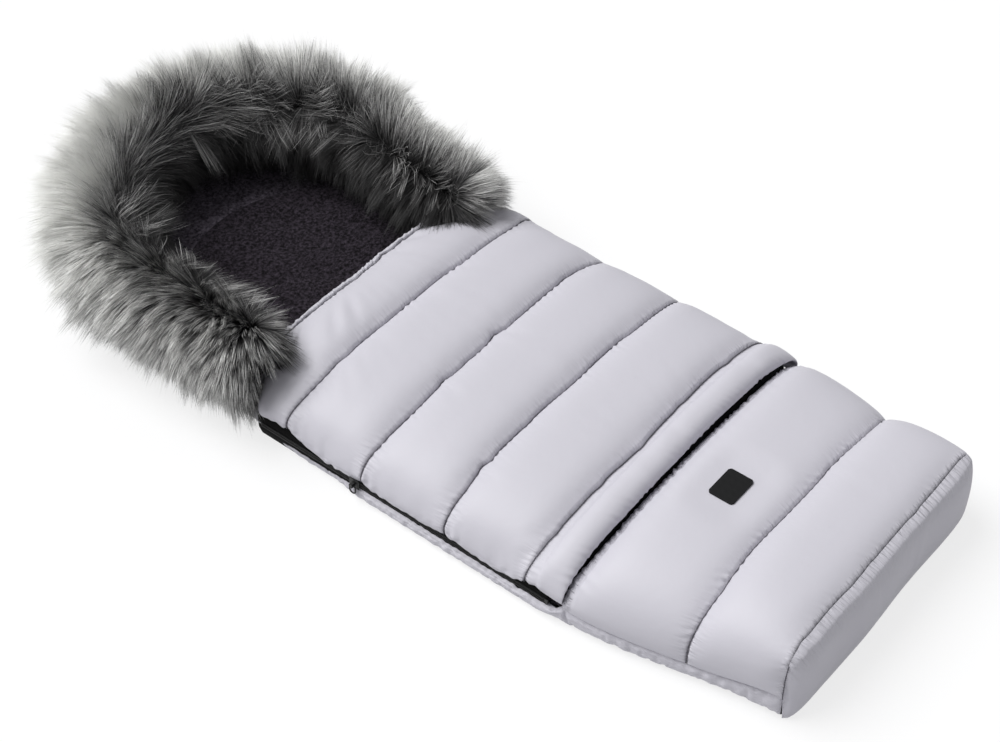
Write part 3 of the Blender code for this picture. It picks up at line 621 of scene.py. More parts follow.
def cover_base(y):
    """Height of the cover's lower edge. It is lifted where the zip is open, and at the roll's end."""
    lifted = (OPEN_HEM - COVER_HEM) * smooth((y - SLIDER) / 0.12)
    end = (ROLL_HEM - COVER_HEM) * smooth(1 - (y - ROLL_EDGE) / 0.045)
    under_fur = 0.006 * smooth((y - 0.640) / 0.034)
    droop = 0.0042 * abs(math.sin(math.pi * (y - SEAM_4) / ((SEAM_1 - SEAM_4) / 3)))
    wave = 0.0008 * math.sin(y * 75) + 0.0006 * math.sin(y * 190 + 1)
    return float(COVER_HEM + lifted + end + under_fur - droop + wave)


# %% [markdown]
# A line sewn through filling never runs quite straight. Each seam gets a slow sweep and a few short
# kinks, and both channels beside it share them.


# %% Sewn lines
def wander(count, seed, sweep, kinks):
    """How a sewn line strays from straight: a slow sweep, and a few short kinks."""
    rng = np.random.default_rng(seed)
    t = np.linspace(0, 1, count)
    line = sum(sweep / k * np.sin(2 * math.pi * (1.3 * k * t + rng.random())) for k in range(1, 5))
    for _ in range(14):
        line = line + kinks * rng.normal() * np.exp(-(((t - rng.random()) / 0.018) ** 2))
    return line


def seam_line(y, seed, sweep=0.0013, kinks=0.0011):
    return y, wander(ACROSS_STEPS, seed, sweep, kinks)


MOUTH_HEM = 0.007
quilt_lines = [seam_line(SEAM_4 + (SEAM_1 - SEAM_4) * i / 3, 20 + i) for i in range(4)]
mouth_line = seam_line(MOUTH - MOUTH_HEM, 32, 0.0006, 0.0008)
print("cover sewn at", [round(line[0], 3) for line in (*quilt_lines, mouth_line)])

# %% [markdown]
# The roll and the mouth's hem are profiles, written as millimetres along the bag and millimetres up.
# Between them the channels' stations come from the seams.

# %% The cover's pattern
ROLL_CLOTH, MOUTH_CLOTH = 0.087, 0.0765
ROLL_PROFILE = (
    (6, 65.5), (2, 67.5), (-3, 70), (-8, 72), (-12, 74), (-14.2, 77), (-14, 80.5), (-12, 83.5),
    (-8.5, 85.6), (-4.5, 86.6), (0, 86.8), (4.5, 86.4), (9, 85.2), (13, 83.4), (17, 80.8), (20.5, 77),
)
MOUTH_PROFILE = (
    (0, 0), (2.0, 1.2), (4.2, 1.4), (6.2, 0.4), (7.4, -1.8), (7.6, -4.6), (6.4, -7.6), (3, -10.5), (-2, -12),
)
roll_stray = wander(ACROSS_STEPS, 33, 0.0009, 0.0010)
cover_stations = []
for along, height in ROLL_PROFILE:
    y = ROLL_EDGE + along / 1000 - 0.0035
    cover_stations.append((y, roll_stray, cover_half(y), cover_base(y), height / 1000, ROLL_CLOTH))
cover_seams = [0, len(cover_stations)]
for near, far in zip(quilt_lines, quilt_lines[1:]):
    heights = (COVER_LOW, COVER_LOW, COVER_CROWN)
    cover_stations += channel(near, far, heights, cover_half, cover_base)
    cover_seams.append(len(cover_stations))
heights = (COVER_LOW, MOUTH_EDGE, MOUTH_CROWN)
cover_stations += channel(quilt_lines[3], mouth_line, heights, cover_half, cover_base)
cover_seams.append(len(cover_stations))
for along, rise in MOUTH_PROFILE:
    y = mouth_line[0] + along / 1000
    half = cover_half(y) + min(rise, 0) / 1000
    top = MOUTH_EDGE + rise / 1000
    cover_stations.append((y, mouth_line[1], half, cover_base(y), top, MOUTH_CLOTH))
cover_seams.append(len(cover_stations) - 1)
print("cover", len(cover_stations), "stations, sewn at", cover_seams)

# %% [markdown]
# Then the pattern is sewn and filled. At the mouth the cloth lies smooth, so it gets no surplus there,
# and under the fur's lobes, where it is drawn in, it is held.

# %% The cover's skin
cover_start, cover_flat = arched_rows(cover_stations)
cover_start = puff_sides(cover_start, cover_seams, 0.0058)
slack = np.full((len(cover_start) - 1, 1), 0.1)
slack[cover_seams[4]:] = 0.0
surplus = np.full((len(cover_start), 1), 0.05)
surplus[cover_seams[4]:] = 0.0
drawn_in = (cover_start[..., 1] > 0.626) & (np.abs(cover_start[..., 0]) > 0.150)
cover_points = cut_and_stuff(
    cover_start, cover_flat, cover_seams, 0.001, slack, surplus, drawn_in, seed=3, ironed=5
)
quilted = [2 * row for row in cover_seams[1:6]]
fine = gathers(refine(cover_points), [*quilted, 10], seed=40)
fine = gathers(fine, [2 * cover_seams[5] + 7], 0.0017, 0.006, 42, (0.006, 0.017))
sides = [2 * TURN_IN + 2, fine.shape[1] - 2 * TURN_IN - 3]
turned = gathers(fine.transpose(1, 0, 2)[:, ::-1], sides, 0.0012, 0.009, 41, (0.009, 0.022))
fine = turned[:, ::-1].transpose(1, 0, 2)
fine, near = creases(fine, quilted)
near[:, :10] = np.maximum(near[:, :10], 0.6)
near[:, -10:] = np.maximum(near[:, -10:], 0.6)
near[-18:] = 0.8
cover_skin = mark(grid_object("cover_skin", fine, "cover", satin), near)
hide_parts("cover_panel", "mouth_panel", "cover_roll")
print("cover", cover_points.shape, "refined to", fine.shape)

# %% [markdown]
# ### The foot box
# Two channels, higher at the toes. The edge towards the cross zip is hemmed like the mouth and
# gathered along its stitches. The label is stitched through the filling, so the cloth is drawn level
# under it.

# %% The foot box's pattern
FOOT_EDGE_HEIGHT, FOOT_SEAM_HEIGHT, FOOT_GAP_HEIGHT = 0.0965, 0.0888, 0.0712
FOOT_CROWNS = (0.0985, 0.0908)
FOOT_SEAM, GAP_HEM, GAP_CLOTH = 0.100, 0.011, 0.0775
GAP_PROFILE = ((0, 0), (2.8, -1.0), (5.6, -2.6), (8.2, -5.0), (10.2, -8.0), (11.4, -11.5), (11.4, -15.0))


def foot_half(y):
    return float(bag_half(y))


def foot_base(y):
    """Height of the side seam: it climbs towards the toes, where the shell is wider."""
    return 0.0250 + 0.010 * float(smooth(1 - y / 0.090))


toe_line = seam_line(0.0, 41, 0.0007, 0.0008)
foot_seam = seam_line(FOOT_SEAM, 42)
gap_stitch = seam_line(GAP_EDGE - GAP_HEM, 43, 0.0006, 0.0006)
foot_stations, foot_seams = [], [0]
for near, far, heights in (
    (toe_line, foot_seam, (FOOT_EDGE_HEIGHT, FOOT_SEAM_HEIGHT, FOOT_CROWNS[0])),
    (foot_seam, gap_stitch, (FOOT_SEAM_HEIGHT, FOOT_GAP_HEIGHT, FOOT_CROWNS[1])),
):
    foot_stations += channel(near, far, heights, foot_half, foot_base)
    foot_seams.append(len(foot_stations))
for along, rise in GAP_PROFILE:
    y = gap_stitch[0] + along / 1000
    half = foot_half(y) + rise / 2500
    top = FOOT_GAP_HEIGHT + rise / 1000
    foot_stations.append((y, gap_stitch[1], half, foot_base(y), top, GAP_CLOTH))
foot_seams.append(len(foot_stations) - 1)
print("foot box", len(foot_stations), "stations, sewn at", foot_seams)

# %% The foot box's skin
foot_start, foot_flat = arched_rows(foot_stations)
foot_start = puff_sides(foot_start, foot_seams, 0.0040)
stay = np.zeros(foot_start.shape[:2], bool)
stay[foot_seams[2]:] = True
foot_points = cut_and_stuff(foot_start, foot_flat, foot_seams, 0.0005, 0.05, 0.03, stay, seed=4, ironed=6)
quilted = [2 * foot_seams[1]]
fine = gathers(refine(foot_points), [0, *quilted], seed=44)
fine = gathers(fine, [2 * foot_seams[2]], 0.0019, 0.012, 45, (0.008, 0.02))
fine = gathers(fine, [2 * foot_seams[2] + 8], 0.0016, 0.008, 46, (0.005, 0.012))
fine, near = creases(fine, quilted)
fine[0, :, 2] -= 0.0026
fine[1, :, 2] -= 0.0006
label_low, label_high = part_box("label_patch")
beside_label = [
    np.maximum(np.maximum(low - fine[..., axis], fine[..., axis] - high), 0)
    for axis, low, high in ((0, label_low.x, label_high.x), (1, label_low.y - TOES, label_high.y - TOES))
]
under_label = smooth(1 - np.hypot(*beside_label) / 0.045)
fine[..., 2] += (label_low.z - 0.0003 - fine[..., 2]) * under_label
near[:5] = np.maximum(near[:5], np.linspace(1, 0.5, 5)[:, None])
near[-12:] = 1.0
foot_skin = mark(grid_object("foot_box_skin", fine, "root", satin), near)
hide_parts("foot_panel")
print("foot box", foot_points.shape, "refined to", fine.shape)

# %% [markdown]
# ### The quilting seams
# What shows as a thin dark line is the seam's own shadow with the thread in it. The thread is drawn
# darker than the cloth, as painted shade for that shadow: stitches 3 mm long that follow the sewn
# line, sunk a little into the cloth. A stitch and a tooth of a zip are both a small rounded block in a
# row, so one routine makes either.


# %% Rows of small blocks
def teeth(name, centres, axes, body, size, material):
    """One small rounded block at each centre. axes are the way along the row, out and sideways, one
    of each for every block, and size is measured along the row, sideways and out."""
    way, out, side = axes
    half = np.array(size) / 2
    ring = np.array([
        (-1, -1), (-0.55, -1.25), (0.55, -1.25), (1, -1), (1, 1), (0.55, 1.25), (-0.55, 1.25), (-1, 1),
    ])
    ring = ring * (half[2], half[1])
    parts = []
    for end, shrink in ((-1, 0.6), (-0.6, 1), (0.6, 1), (1, 0.6)):
        parts.append(
            centres[:, None] + way[:, None] * half[0] * end
            + out[:, None] * (ring[:, 0] * shrink)[None, :, None]
            + side[:, None] * (ring[:, 1] * shrink)[None, :, None]
        )
    points = np.stack(parts, 1)
    count, rings, around = points.shape[:3]
    index = np.arange(points.size // 3).reshape(count, rings, around)
    nxt = np.roll(index, -1, 2)
    walls = np.stack([index[:, :-1], nxt[:, :-1], nxt[:, 1:], index[:, 1:]], -1).reshape(-1, 4)
    caps = [index[:, 0][:, list(c)] for c in ((0, 1, 6, 7), (1, 2, 5, 6), (2, 3, 4, 5))]
    caps += [index[:, -1][:, list(c[::-1])] for c in ((0, 1, 6, 7), (1, 2, 5, 6), (2, 3, 4, 5))]
    faces = np.concatenate([walls, *caps])
    return mesh_object(name, points.reshape(-1, 3), faces, body, material)


# %% Stitches
# The thread's colour is darker than the cloth: painted shade for the crease it lies in.
thread = new_material("sewing_thread_painted_shade", "5a5860", 0.8, ior=1.57)
STITCH = (0.0031, 0.0009, 0.0009)
STITCH_PITCH = 0.0032


def stitch(name, line, body):
    """Stitches along a line of points."""
    run = np.concatenate([[0], np.cumsum(length(np.diff(line, axis=0)))])
    at = np.arange(STITCH_PITCH / 2, run[-1], STITCH_PITCH)
    centres = np.stack([np.interp(at, run, line[:, i]) for i in range(3)], -1)
    way = np.gradient(centres, axis=0)
    way /= length(way)[:, None]
    side = np.cross(way, (0.0, 1.0, 0.0))
    side /= np.maximum(length(side), 1e-9)[:, None]
    made = teeth(name, centres, (way, side, np.cross(way, side)), body, STITCH, thread)
    print(name, len(centres), "stitches")
    return made


for i, row in enumerate(cover_seams[1:6]):
    stitch(f"cover_stitch_{i + 1}", cover_points[row, TURN_IN:-TURN_IN] - (0, 0, 0.0004), "cover")
stitch("foot_stitch", foot_points[foot_seams[1], TURN_IN:-TURN_IN] - (0, 0, 0.0004), "root")

# %% [markdown]
# ### The gusset at the toes
# An upright panel, sewn to the foot box's edge above and to the back below. Its filling rounds it out
# between the seams, and it pinches at its two upper corners. It is small and nearly plain, so it needs
# no solver: a formula rounds it, slow waves make it uneven, and gathers run down from its upper seam.

# %% Gusset
ACROSS_GUSSET, UP_GUSSET = 121, 34
edge_row = foot_start[0, TURN_IN:-TURN_IN]
pick = np.linspace(0, len(edge_row) - 1, ACROSS_GUSSET)
edge = np.stack([np.interp(pick, np.arange(len(edge_row)), edge_row[:, i]) for i in range(3)], -1)
bottom_x = np.linspace(-TOE_HALF, TOE_HALF, ACROSS_GUSSET)
bottom = np.stack([bottom_x, 0 * pick - 0.002, 0 * pick + 0.001], -1)
share = np.linspace(0, 1, UP_GUSSET)[:, None]
gusset = bottom * (1 - share[..., None]) + edge * share[..., None]
pinch = np.clip(1 - np.abs(gusset[..., 0] / TOE_HALF) ** 7, 0, None) ** 0.4
gusset[..., 1] -= 0.018 * pinch * swell(share, 2.8)
fine = refine(gusset)
pinch = np.clip(1 - np.abs(fine[..., 0] / TOE_HALF) ** 7, 0, None)
uneven = ripple(fine * (1, 1, 0.6), 0.0026, 0.030, 5)
fine[..., 1] += uneven * swell(np.linspace(0, 1, len(fine)), 2.0)[:, None] * pinch
fine = gathers(fine, [len(fine) - 1], 0.0010, 0.010, 47, (0.007, 0.018))
near = np.repeat(np.exp(-np.arange(len(fine))[::-1, None] * 0.0014 / 0.009), fine.shape[1], 1)
gusset_skin = mark(grid_object("gusset_skin", fine, "root", satin), near)
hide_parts("foot_end_gusset")
stitch("toe_stitch", edge_row - (0, 0.0002, 0.0018), "root")
print("gusset", gusset.shape, "refined to", fine.shape)

# %% [markdown]
# ## The back
# The shell's stuffed rim runs all round the bag, below the zips. It carries little load, so its
# cloth is slack and lies in short folds: more extra length than in the cover, and less filling.
# The underside is flat, quilted in the same channels, and cut by the harness slits.


# %% Paths round the bag
def round_head(side_x, ys, radius, step):
    """(point, outward) up the left side, round the head and down the right side."""
    left = np.stack([-side_x, ys], -1)
    turn = np.arange(0, math.pi, step / radius) + 1e-6
    head = np.stack([-radius * np.cos(turn), HOOD_CENTRE + radius * np.sin(turn)], -1)
    path = np.concatenate([left, head, left[::-1] * (-1, 1)])
    way = np.gradient(path, axis=0)
    outward = np.stack([-way[:, 1], way[:, 0]], -1)
    return path, outward / length(outward)[:, None]


def swept(path, outward, sections):
    """Grid of (out, height) sections, one for each point of a path."""
    spots = path[:, None, :] + outward[:, None, :] * sections[..., :1]
    return np.concatenate([spots, sections[..., 1:]], -1)


# %% Shell rim
RIM_SECTION = np.array([
    (-22, 0.5), (-16, 0.5), (-10, 0.5), (-4, 0.6), (1, 1.4), (4.2, 3.6), (6.4, 6.6), (7.4, 9.6),
    (7.2, 12.4), (6.4, 15.0), (5.2, 17.2), (4.0, 18.4), (1.0, 18.6),
]) / 1000
ys = np.arange(0.0, HOOD_CENTRE, CELL)
rim_path, rim_out = round_head(bag_half(ys), ys, HOOD_HALF, CELL)
rim_y = rim_path[:, 1]
zipped = smooth((rim_y - GAP_EDGE + 0.006) / 0.014)
foot_top = 0.0262 + 0.010 * smooth(1 - rim_y / 0.090)
rim_top = foot_top + (0.0176 + 0.005 * smooth((rim_y - ZIP_TOP) / 0.03) - foot_top) * zipped
sections = np.repeat(RIM_SECTION[None], len(rim_path), 0)
sections[..., 1] *= (rim_top / 0.0186)[:, None]
sections[..., 0] -= ((1 - zipped) * 0.0042)[:, None] * smooth((sections[..., 0] + 0.01) / 0.012)
slimmer = smooth((rim_y - SLIDER + 0.02) / 0.05) * smooth((FUR_END + 0.06 - rim_y) / 0.06)
drawn = (slimmer * 0.0045 + zipped * 0.0008)[:, None]
sections[..., 0] -= drawn * smooth((sections[..., 0] + 0.004) / 0.008)
for i, wide in enumerate((0.0, 0.55, 0.85)):
    for end in (i, -1 - i):
        out_at = sections[end, :, 0]
        sections[end, :, 0] = np.where(out_at > 0, out_at * wide, out_at)
rim = swept(rim_path, rim_out, sections)
print("rim", rim.shape)

# %% The rim's cloth
rim_held = np.zeros(rim.shape[:2], bool)
rim_held[:, :4] = rim_held[:, -3:] = True
rim_held[[0, -1]] = True
across, along = threads(rim)
rim = stuff(rim, rim_held, across * 1.05, along * 1.045, push=2e-5, soft=0.05, reach=0.005, seed=6)
turned = gathers(refine(rim).transpose(1, 0, 2), [18], 0.0015, 0.010, 49, (0.009, 0.026))
crumpled = turned.transpose(1, 0, 2)
crumpled[..., 2] = np.maximum(crumpled[..., 2], 0.0004)
rim_skin = grid_object("shell_rim_skin", crumpled, "root", satin)
mark(rim_skin, np.full(crumpled.shape[:2], 0.5))
print("rim refined to", crumpled.shape)

# %% [markdown]
# ### The slits
# The pushchair's belts pass through slits in the back. A grid can't be cut freely, so the points beside
# a slit move onto its border first, and the cells inside it are then left out.

# %% Slits
SLITS = {}
for slit in ("left_harness_slit", "right_harness_slit", "crotch_slit"):
    low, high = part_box(slit + "_binding")
    SLITS[slit] = (low.x, high.x, low.y - TOES, high.y - TOES)
print("slits", {name: [round(v, 3) for v in place] for name, place in SLITS.items()})


def cut_slits(points):
    """Move the points at a slit's border onto it, and say which cells stay."""
    centre = (points[:-1, :-1] + points[1:, 1:]) / 2
    middle = points[:2, points.shape[1] // 2]
    step = length(middle[1] - middle[0]) * 0.75
    keep = np.ones(centre.shape[:2], bool)
    for x0, x1, y0, y1 in SLITS.values():
        within_x = (centre[..., 0] > x0) & (centre[..., 0] < x1)
        within_y = (centre[..., 1] > y0) & (centre[..., 1] < y1)
        keep &= ~(within_x & within_y)
        beside_x = (points[..., 0] > x0 - step) & (points[..., 0] < x1 + step)
        beside_y = (points[..., 1] > y0 - step) & (points[..., 1] < y1 + step)
        borders = ((0, x0, beside_y), (0, x1, beside_y), (1, y0, beside_x), (1, y1, beside_x))
        for axis, border, beside in borders:
            snap = beside & (np.abs(points[..., axis] - border) < step * 0.67)
            points[..., axis] = np.where(snap, border, points[..., axis])
    return keep


# %% The underside
def flat_grid(ys, half, count, height):
    """Rows across the bag at these places. half gives each row's half width, height each point's."""
    rows = []
    for y in ys:
        x = np.linspace(-1, 1, count) * half(y)
        rows.append(np.stack([x, np.full(count, y), np.zeros(count)], -1))
    points = np.array(rows)
    points[..., 2] = height(points)
    return points


def underside_height(points):
    """The underside is quilted every 11 cm, and lies nearly flat."""
    share = (points[..., 1] % 0.110) / 0.110
    edge_x = np.clip((bag_half(points[..., 1]) - 0.02 - np.abs(points[..., 0])) / 0.03, 0, 1)
    return 0.0006 + 0.0032 * (1 - swell(share, 4.0)) * smooth(edge_x)


head_ys = HOOD_CENTRE + HOOD_HALF * np.sin(np.linspace(0.02, 0.5, 26) * math.pi * 0.98)
under_ys = np.concatenate([np.arange(0.0, HOOD_CENTRE, 0.005), head_ys])
under = flat_grid(under_ys, lambda y: max(float(bag_half(y)) - 0.0205, 0.004), 81, underside_height)
under_keep = cut_slits(under)
underside = grid_object(
    "shell_underside", under[:, ::-1], "root", satin, under_keep[:, ::-1]
)
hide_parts("back_shell")
print("underside", under.shape)

# %% [markdown]
# ## Linings
# Charcoal fleece on the back, up the hood wall and inside the cover and the foot box. It isn't
# stuffed, so a grid with a slow, low noise is enough. The nap is about a millimetre and a half long,
# hardly more than a pixel, so it is left to the material.


# %% The back's lining
LINING_COLUMNS = 91
FLOOR = 0.0215


def lining_height(points):
    half = bag_half(points[..., 1]) - 0.0012
    rise = np.clip((np.abs(points[..., 0]) - (half - 0.045)) / 0.045, 0, 1)
    hood = smooth((points[..., 1] - 0.60) / 0.06)
    hood = np.maximum(hood, 1 - smooth((points[..., 1] - CROSS_ZIP) / 0.03))
    bump = 0.0030 * np.sin(np.clip(rise, 0, 1) * math.pi) ** 2 * (1 - hood)
    return 0.0212 + 0.0008 * rise + bump + ripple(points, 0.0004, 0.02, 7)


lining_ys = np.concatenate([np.arange(0.001, HOOD_CENTRE, 0.005), head_ys - 0.001])
lining = flat_grid(
    lining_ys, lambda y: max(float(bag_half(y)) - 0.0012, 0.004), LINING_COLUMNS, lining_height
)
lining_keep = cut_slits(lining)
# The back's lining gets the fleece's paler copy, which is painted light.
back_lining = grid_object("back_lining", lining, "root", fleece_painted_paler, lining_keep)
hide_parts("inner_lining")
print("back lining", lining.shape)


# %% The linings under both arches
def arch_lining(name, ys, half, base, top, body, seed, closed_end=False):
    rows = []
    for y in ys:
        x, z, _ = arch(half(y), base(y), top, LINING_COLUMNS)
        rows.append(np.stack([x, np.full(LINING_COLUMNS, y), z], -1))
    if closed_end:
        first = rows[0]
        for shrink in (0.92, 0.7, 0.4, 0.05):
            rows.insert(0, first * (shrink, 1, shrink) + (0, 0.0005, 0.035 * (1 - shrink)))
    points = np.array(rows)
    points += face_normals(points) * ripple(points, 0.0009, 0.012, seed)[..., None]
    print(name, points.shape)
    return grid_object(name, points[:, ::-1], body, fleece)


cover_inside = arch_lining(
    "cover_inside", np.arange(ROLL_EDGE + 0.003, MOUTH - 0.002, 0.005),
    lambda y: cover_half(y) - 0.011, lambda y: cover_base(y) + 0.0005, 0.0605, "cover", 12,
)
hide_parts("cover_lining")
foot_inside = arch_lining(
    "foot_box_inside", np.arange(0.002, GAP_EDGE - 0.001, 0.005),
    lambda y: foot_half(y) - 0.016, lambda y: 0.0240, 0.0615, "root", 15, closed_end=True,
)
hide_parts("foot_lining")

# %% [markdown]
# ### The seat pad
# A fleece pad, 12 mm thick, cut with a round head end. Its height follows the distance from its own
# edge, which rounds the edge off evenly all round.


# %% Seat pad
PAD_TOE_HALF = 0.1395
ARC_START = PAD_END - PAD_HALF


def pad_half(y):
    """Half the pad's width: nearly straight sides, then half a circle at the head."""
    if y > ARC_START:
        return math.sqrt(max(0.0, PAD_HALF**2 - (y - ARC_START) ** 2))
    return PAD_TOE_HALF + (PAD_HALF - PAD_TOE_HALF) * float(smooth(y / CROSS_ZIP))


def pad_height(points):
    """Height of the pad's top, which rolls off over 9 mm at its edge."""
    halves = np.array([pad_half(y) for y in points[:, 0, 1]])[:, None]
    beside = halves - np.abs(points[..., 0])
    radial = PAD_HALF - np.hypot(points[..., 0], points[..., 1] - ARC_START)
    inside = np.where(points[..., 1] > ARC_START, radial, np.minimum(beside, points[..., 1] - 0.004))
    roll = np.clip(inside / 0.009, 0, 1)
    height = FLOOR + (PAD_TOP - FLOOR) * np.sqrt(1 - (1 - roll) ** 2)
    return height + ripple(points, 0.0011, 0.016, 8) * roll


round_ys = ARC_START + PAD_HALF * np.sin(np.linspace(0.01, 0.4995, 52) * math.pi)
pad_ys = np.concatenate([np.arange(0.004, ARC_START, 0.0035), round_ys])
pad = flat_grid(pad_ys, lambda y: max(pad_half(y), 0.0005), 101, pad_height)
pad_keep = cut_slits(pad)
pad_skin = grid_object("pad_fleece", pad, "root", fleece, pad_keep)
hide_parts("seat_pad")
print("pad", pad.shape)

# %% [markdown]
# ### Bindings of the slits
# Each slit is bound all round with webbing that is folded over the pad above and over the shell below.
# One closed loop of sections makes it: a lip, the wall through the filling, and the other lip.

# %% Slit bindings
BINDING_SECTION = (
    (2.6, 0.9), (0.6, 0.5), (-0.2, 1.6), (-0.5, 9.0), (-0.9, 18.0), (-0.5, 27.0), (-0.2, 33.6),
    (0.6, 34.7), (2.8, 34.2),
)
INSET, CORNER = 0.0022, 0.0030
turns = np.linspace(0, TURN, 73)[:-1]
spoke = np.stack([np.cos(turns), np.sin(turns)], -1)
for slit, (x0, x1, y0, y1) in SLITS.items():
    corner_x = np.where(np.cos(turns) > 0, x1 - INSET - CORNER, x0 + INSET + CORNER)
    corner_y = np.where(np.sin(turns) > 0, y1 - INSET - CORNER, y0 + INSET + CORNER)
    rows = []
    for out, height in BINDING_SECTION:
        ring = np.stack([corner_x, corner_y], -1) + spoke * (CORNER + out / 1000)
        rows.append(np.concatenate([ring, np.full((len(ring), 1), height / 1000)], 1))
    bound = grid_object(f"{slit}_webbing", np.array(rows), "root", webbing, closed=True)
    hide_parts(f"{slit}_binding")
    print(bound.name, round(x1 - x0, 3), "x", round(y1 - y0, 3))

# %% [markdown]
# ### The hood wall
# A low padded wall carries the collar. Outside it is nylon, inside fleece.


# %% The wall's path
def fur_height(share):
    """Height of the collar's middle line: it rises from both ends to the head."""
    return 0.080 + 0.022 * smooth(1 - np.abs(2 * share - 1))


WALL_STEP = 0.004
ys = np.arange(0.672, HOOD_CENTRE, WALL_STEP)
wall_path, wall_out = round_head(np.full(len(ys), HORSESHOE), ys, HORSESHOE, WALL_STEP)
run = np.concatenate([[0], np.cumsum(length(np.diff(wall_path, axis=0)))])
wall_up = np.linspace(0, 1, 17)
wall_top = fur_height(run / run[-1]) - 0.022
print("hood wall", round(run[-1], 3), "m round")


# %% The wall's two sides
def wall_side(out_at, bulge):
    """Rows up the wall, so far outside its path and bulging out by so much."""
    sections = np.empty((len(wall_path), len(wall_up), 2))
    sections[..., 0] = out_at + bulge * np.sin(wall_up * math.pi)
    sections[..., 1] = FLOOR + (wall_top[:, None] - FLOOR) * wall_up
    return swept(wall_path, wall_out, sections)


outside = wall_side(0.009, 0.005)
wall_held = np.zeros(outside.shape[:2], bool)
wall_held[:, [0, -1]] = wall_held[[0, -1]] = True
across, along = threads(outside)
outside = stuff(outside, wall_held, across * 1.03, along * 1.06, reach=0.005, seed=9)
wall_skin = grid_object("hood_wall_skin", outside, None, satin)
inside = wall_side(-0.009, -0.004)[:, ::-1]
# The wall's fleece is the paler copy too, which is painted light.
wall_fleece = grid_object("hood_wall_fleece", inside, None, fleece_painted_paler)
for piece, node in ((wall_skin, "hood_wall"), (wall_fleece, "hood_lining")):
    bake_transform(piece)
    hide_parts(node)
print("hood wall", outside.shape, inside.shape)

# %% [markdown]
# ## Zips
# A coil zip is a woven tape with a nylon filament sewn along its edge, bent into teeth every
# millimetre and a half. The two rows stand a half pitch apart, as when they are closed.

# %% Tapes and teeth
COIL_HEIGHT = 0.0235
ROW_HALF = 0.0019
PITCH = 0.0016
TOOTH = (0.0009, 0.0022, 0.0024)
TOOTH_OUT = 0.0034
ZIP_END, TAPE_END = 0.645, 0.652
TAPE_SECTION = np.array([(3.4, 0.8), (3.4, 5), (3.3, 8), (2.2, 11), (1.2, 14.5), (-1, 21)]) / 1000
zip_ys = np.arange(ROLL_EDGE + 0.003, ZIP_END, PITCH)
strip_ys = np.arange(ROLL_EDGE + 0.001, TAPE_END, 0.005)
for side_name, side in (("left", -1), ("right", 1)):
    for owner, up, body in (("shell", -1, "root"), ("cover", 1, "cover")):
        name = f"{side_name}_zip_{owner}"
        strip = np.empty((len(strip_ys), len(TAPE_SECTION), 3))
        strip[..., 0] = side * (HALF + TAPE_SECTION[:, 0])
        strip[..., 1] = strip_ys[:, None]
        strip[..., 2] = COIL_HEIGHT + up * TAPE_SECTION[:, 1]
        tape = grid_object(f"{name}_strip", strip, body, tape_black)
        ys = zip_ys + (PITCH / 2 if up > 0 else 0)
        out_at = np.full(len(ys), side * (HALF + TOOTH_OUT))
        centres = np.stack([out_at, ys, np.full(len(ys), COIL_HEIGHT + up * ROW_HALF)], -1)
        axes = [np.tile(v, (len(ys), 1)).astype(float) for v in ((0, 1, 0), (side, 0, 0), (0, 0, 1))]
        teeth(f"{name}_coil", centres, axes, body, TOOTH, coil_black)
        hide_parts(f"{name}_tape")
        print(name, len(centres), "teeth")

# %% [markdown]
# ### The cross zip
# It runs over the arch between the cover's roll and the foot box, deep in the gap. Behind it a flap
# of tape joins both sides.

# %% The cross zip's arch
CROSS_HEIGHT, CROSS_FOOT, CROSS_FLAT = 0.066, 0.028, 0.140
CROSS_HALF = HALF - 0.009
turns = np.linspace(0, math.pi / 2, 40)
quarter = np.stack([
    CROSS_FLAT + (CROSS_HALF - CROSS_FLAT) * np.cos(turns),
    CROSS_FOOT + (CROSS_HEIGHT - CROSS_FOOT) * np.sin(turns),
], -1)
flat_part = np.stack([np.linspace(CROSS_FLAT, -CROSS_FLAT, 60)[1:-1], np.full(58, CROSS_HEIGHT)], -1)
cross_line = np.concatenate([quarter, flat_part, (quarter * (-1, 1))[::-1]])[::-1]
run = np.concatenate([[0], np.cumsum(length(np.diff(cross_line, axis=0)))])
spots = np.arange(0, run[-1], PITCH)
cross_teeth = np.stack([np.interp(spots, run, cross_line[:, i]) for i in (0, 1)], -1)
print("cross zip", round(run[-1], 3), "m,", len(spots), "teeth")


def over_arch(line, y, lift=0.0):
    """Points over the arch at one place along the bag, with the way along it and the way out."""
    way = np.gradient(line, axis=0)
    way = np.stack([way[:, 0], 0 * way[:, 0], way[:, 1]], -1) / length(way)[:, None]
    out = way[:, ::-1] * (-1, 1, 1)
    return np.stack([line[:, 0], np.full(len(line), y), line[:, 1]], -1) + out * lift, way, out


# %% Cross zip
CROSS_SECTION = np.array([(0, 0.8), (0, 3), (-1, 6), (-3, 9)]) / 1000
for owner, toward, body in (("foot", -1, "root"), ("cover", 1, "cover")):
    rows = [over_arch(cross_line, CROSS_ZIP + toward * b, a)[0] for a, b in CROSS_SECTION]
    strip = grid_object(f"cross_zip_{owner}_strip", np.array(rows[::toward]), body, tape_black)
    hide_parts(f"cross_zip_{owner}_tape")
    centres, way, out = over_arch(cross_teeth, CROSS_ZIP + toward * ROW_HALF)
    centres += way * (PITCH / 2 if toward > 0 else 0)
    axes = (way, out, np.tile((0.0, 1.0, 0.0), (len(centres), 1)))
    teeth(f"cross_zip_{owner}_coil", centres, axes, body, TOOTH, coil_black)
    print("cross zip", owner, len(centres), "teeth")

flap_line = cross_line * (0.985, 0.96)
flap_rows = [over_arch(flap_line, CROSS_ZIP + b)[0] for b in np.linspace(-0.011, 0.011, 23)]
flap = grid_object("cross_zip_flap", np.array(flap_rows), None, tape_black)
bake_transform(flap)

# %% [markdown]
# ### Sliders, pulls, stops, label and bindings
# The hard pieces come straight from the CAD, and only get their materials.

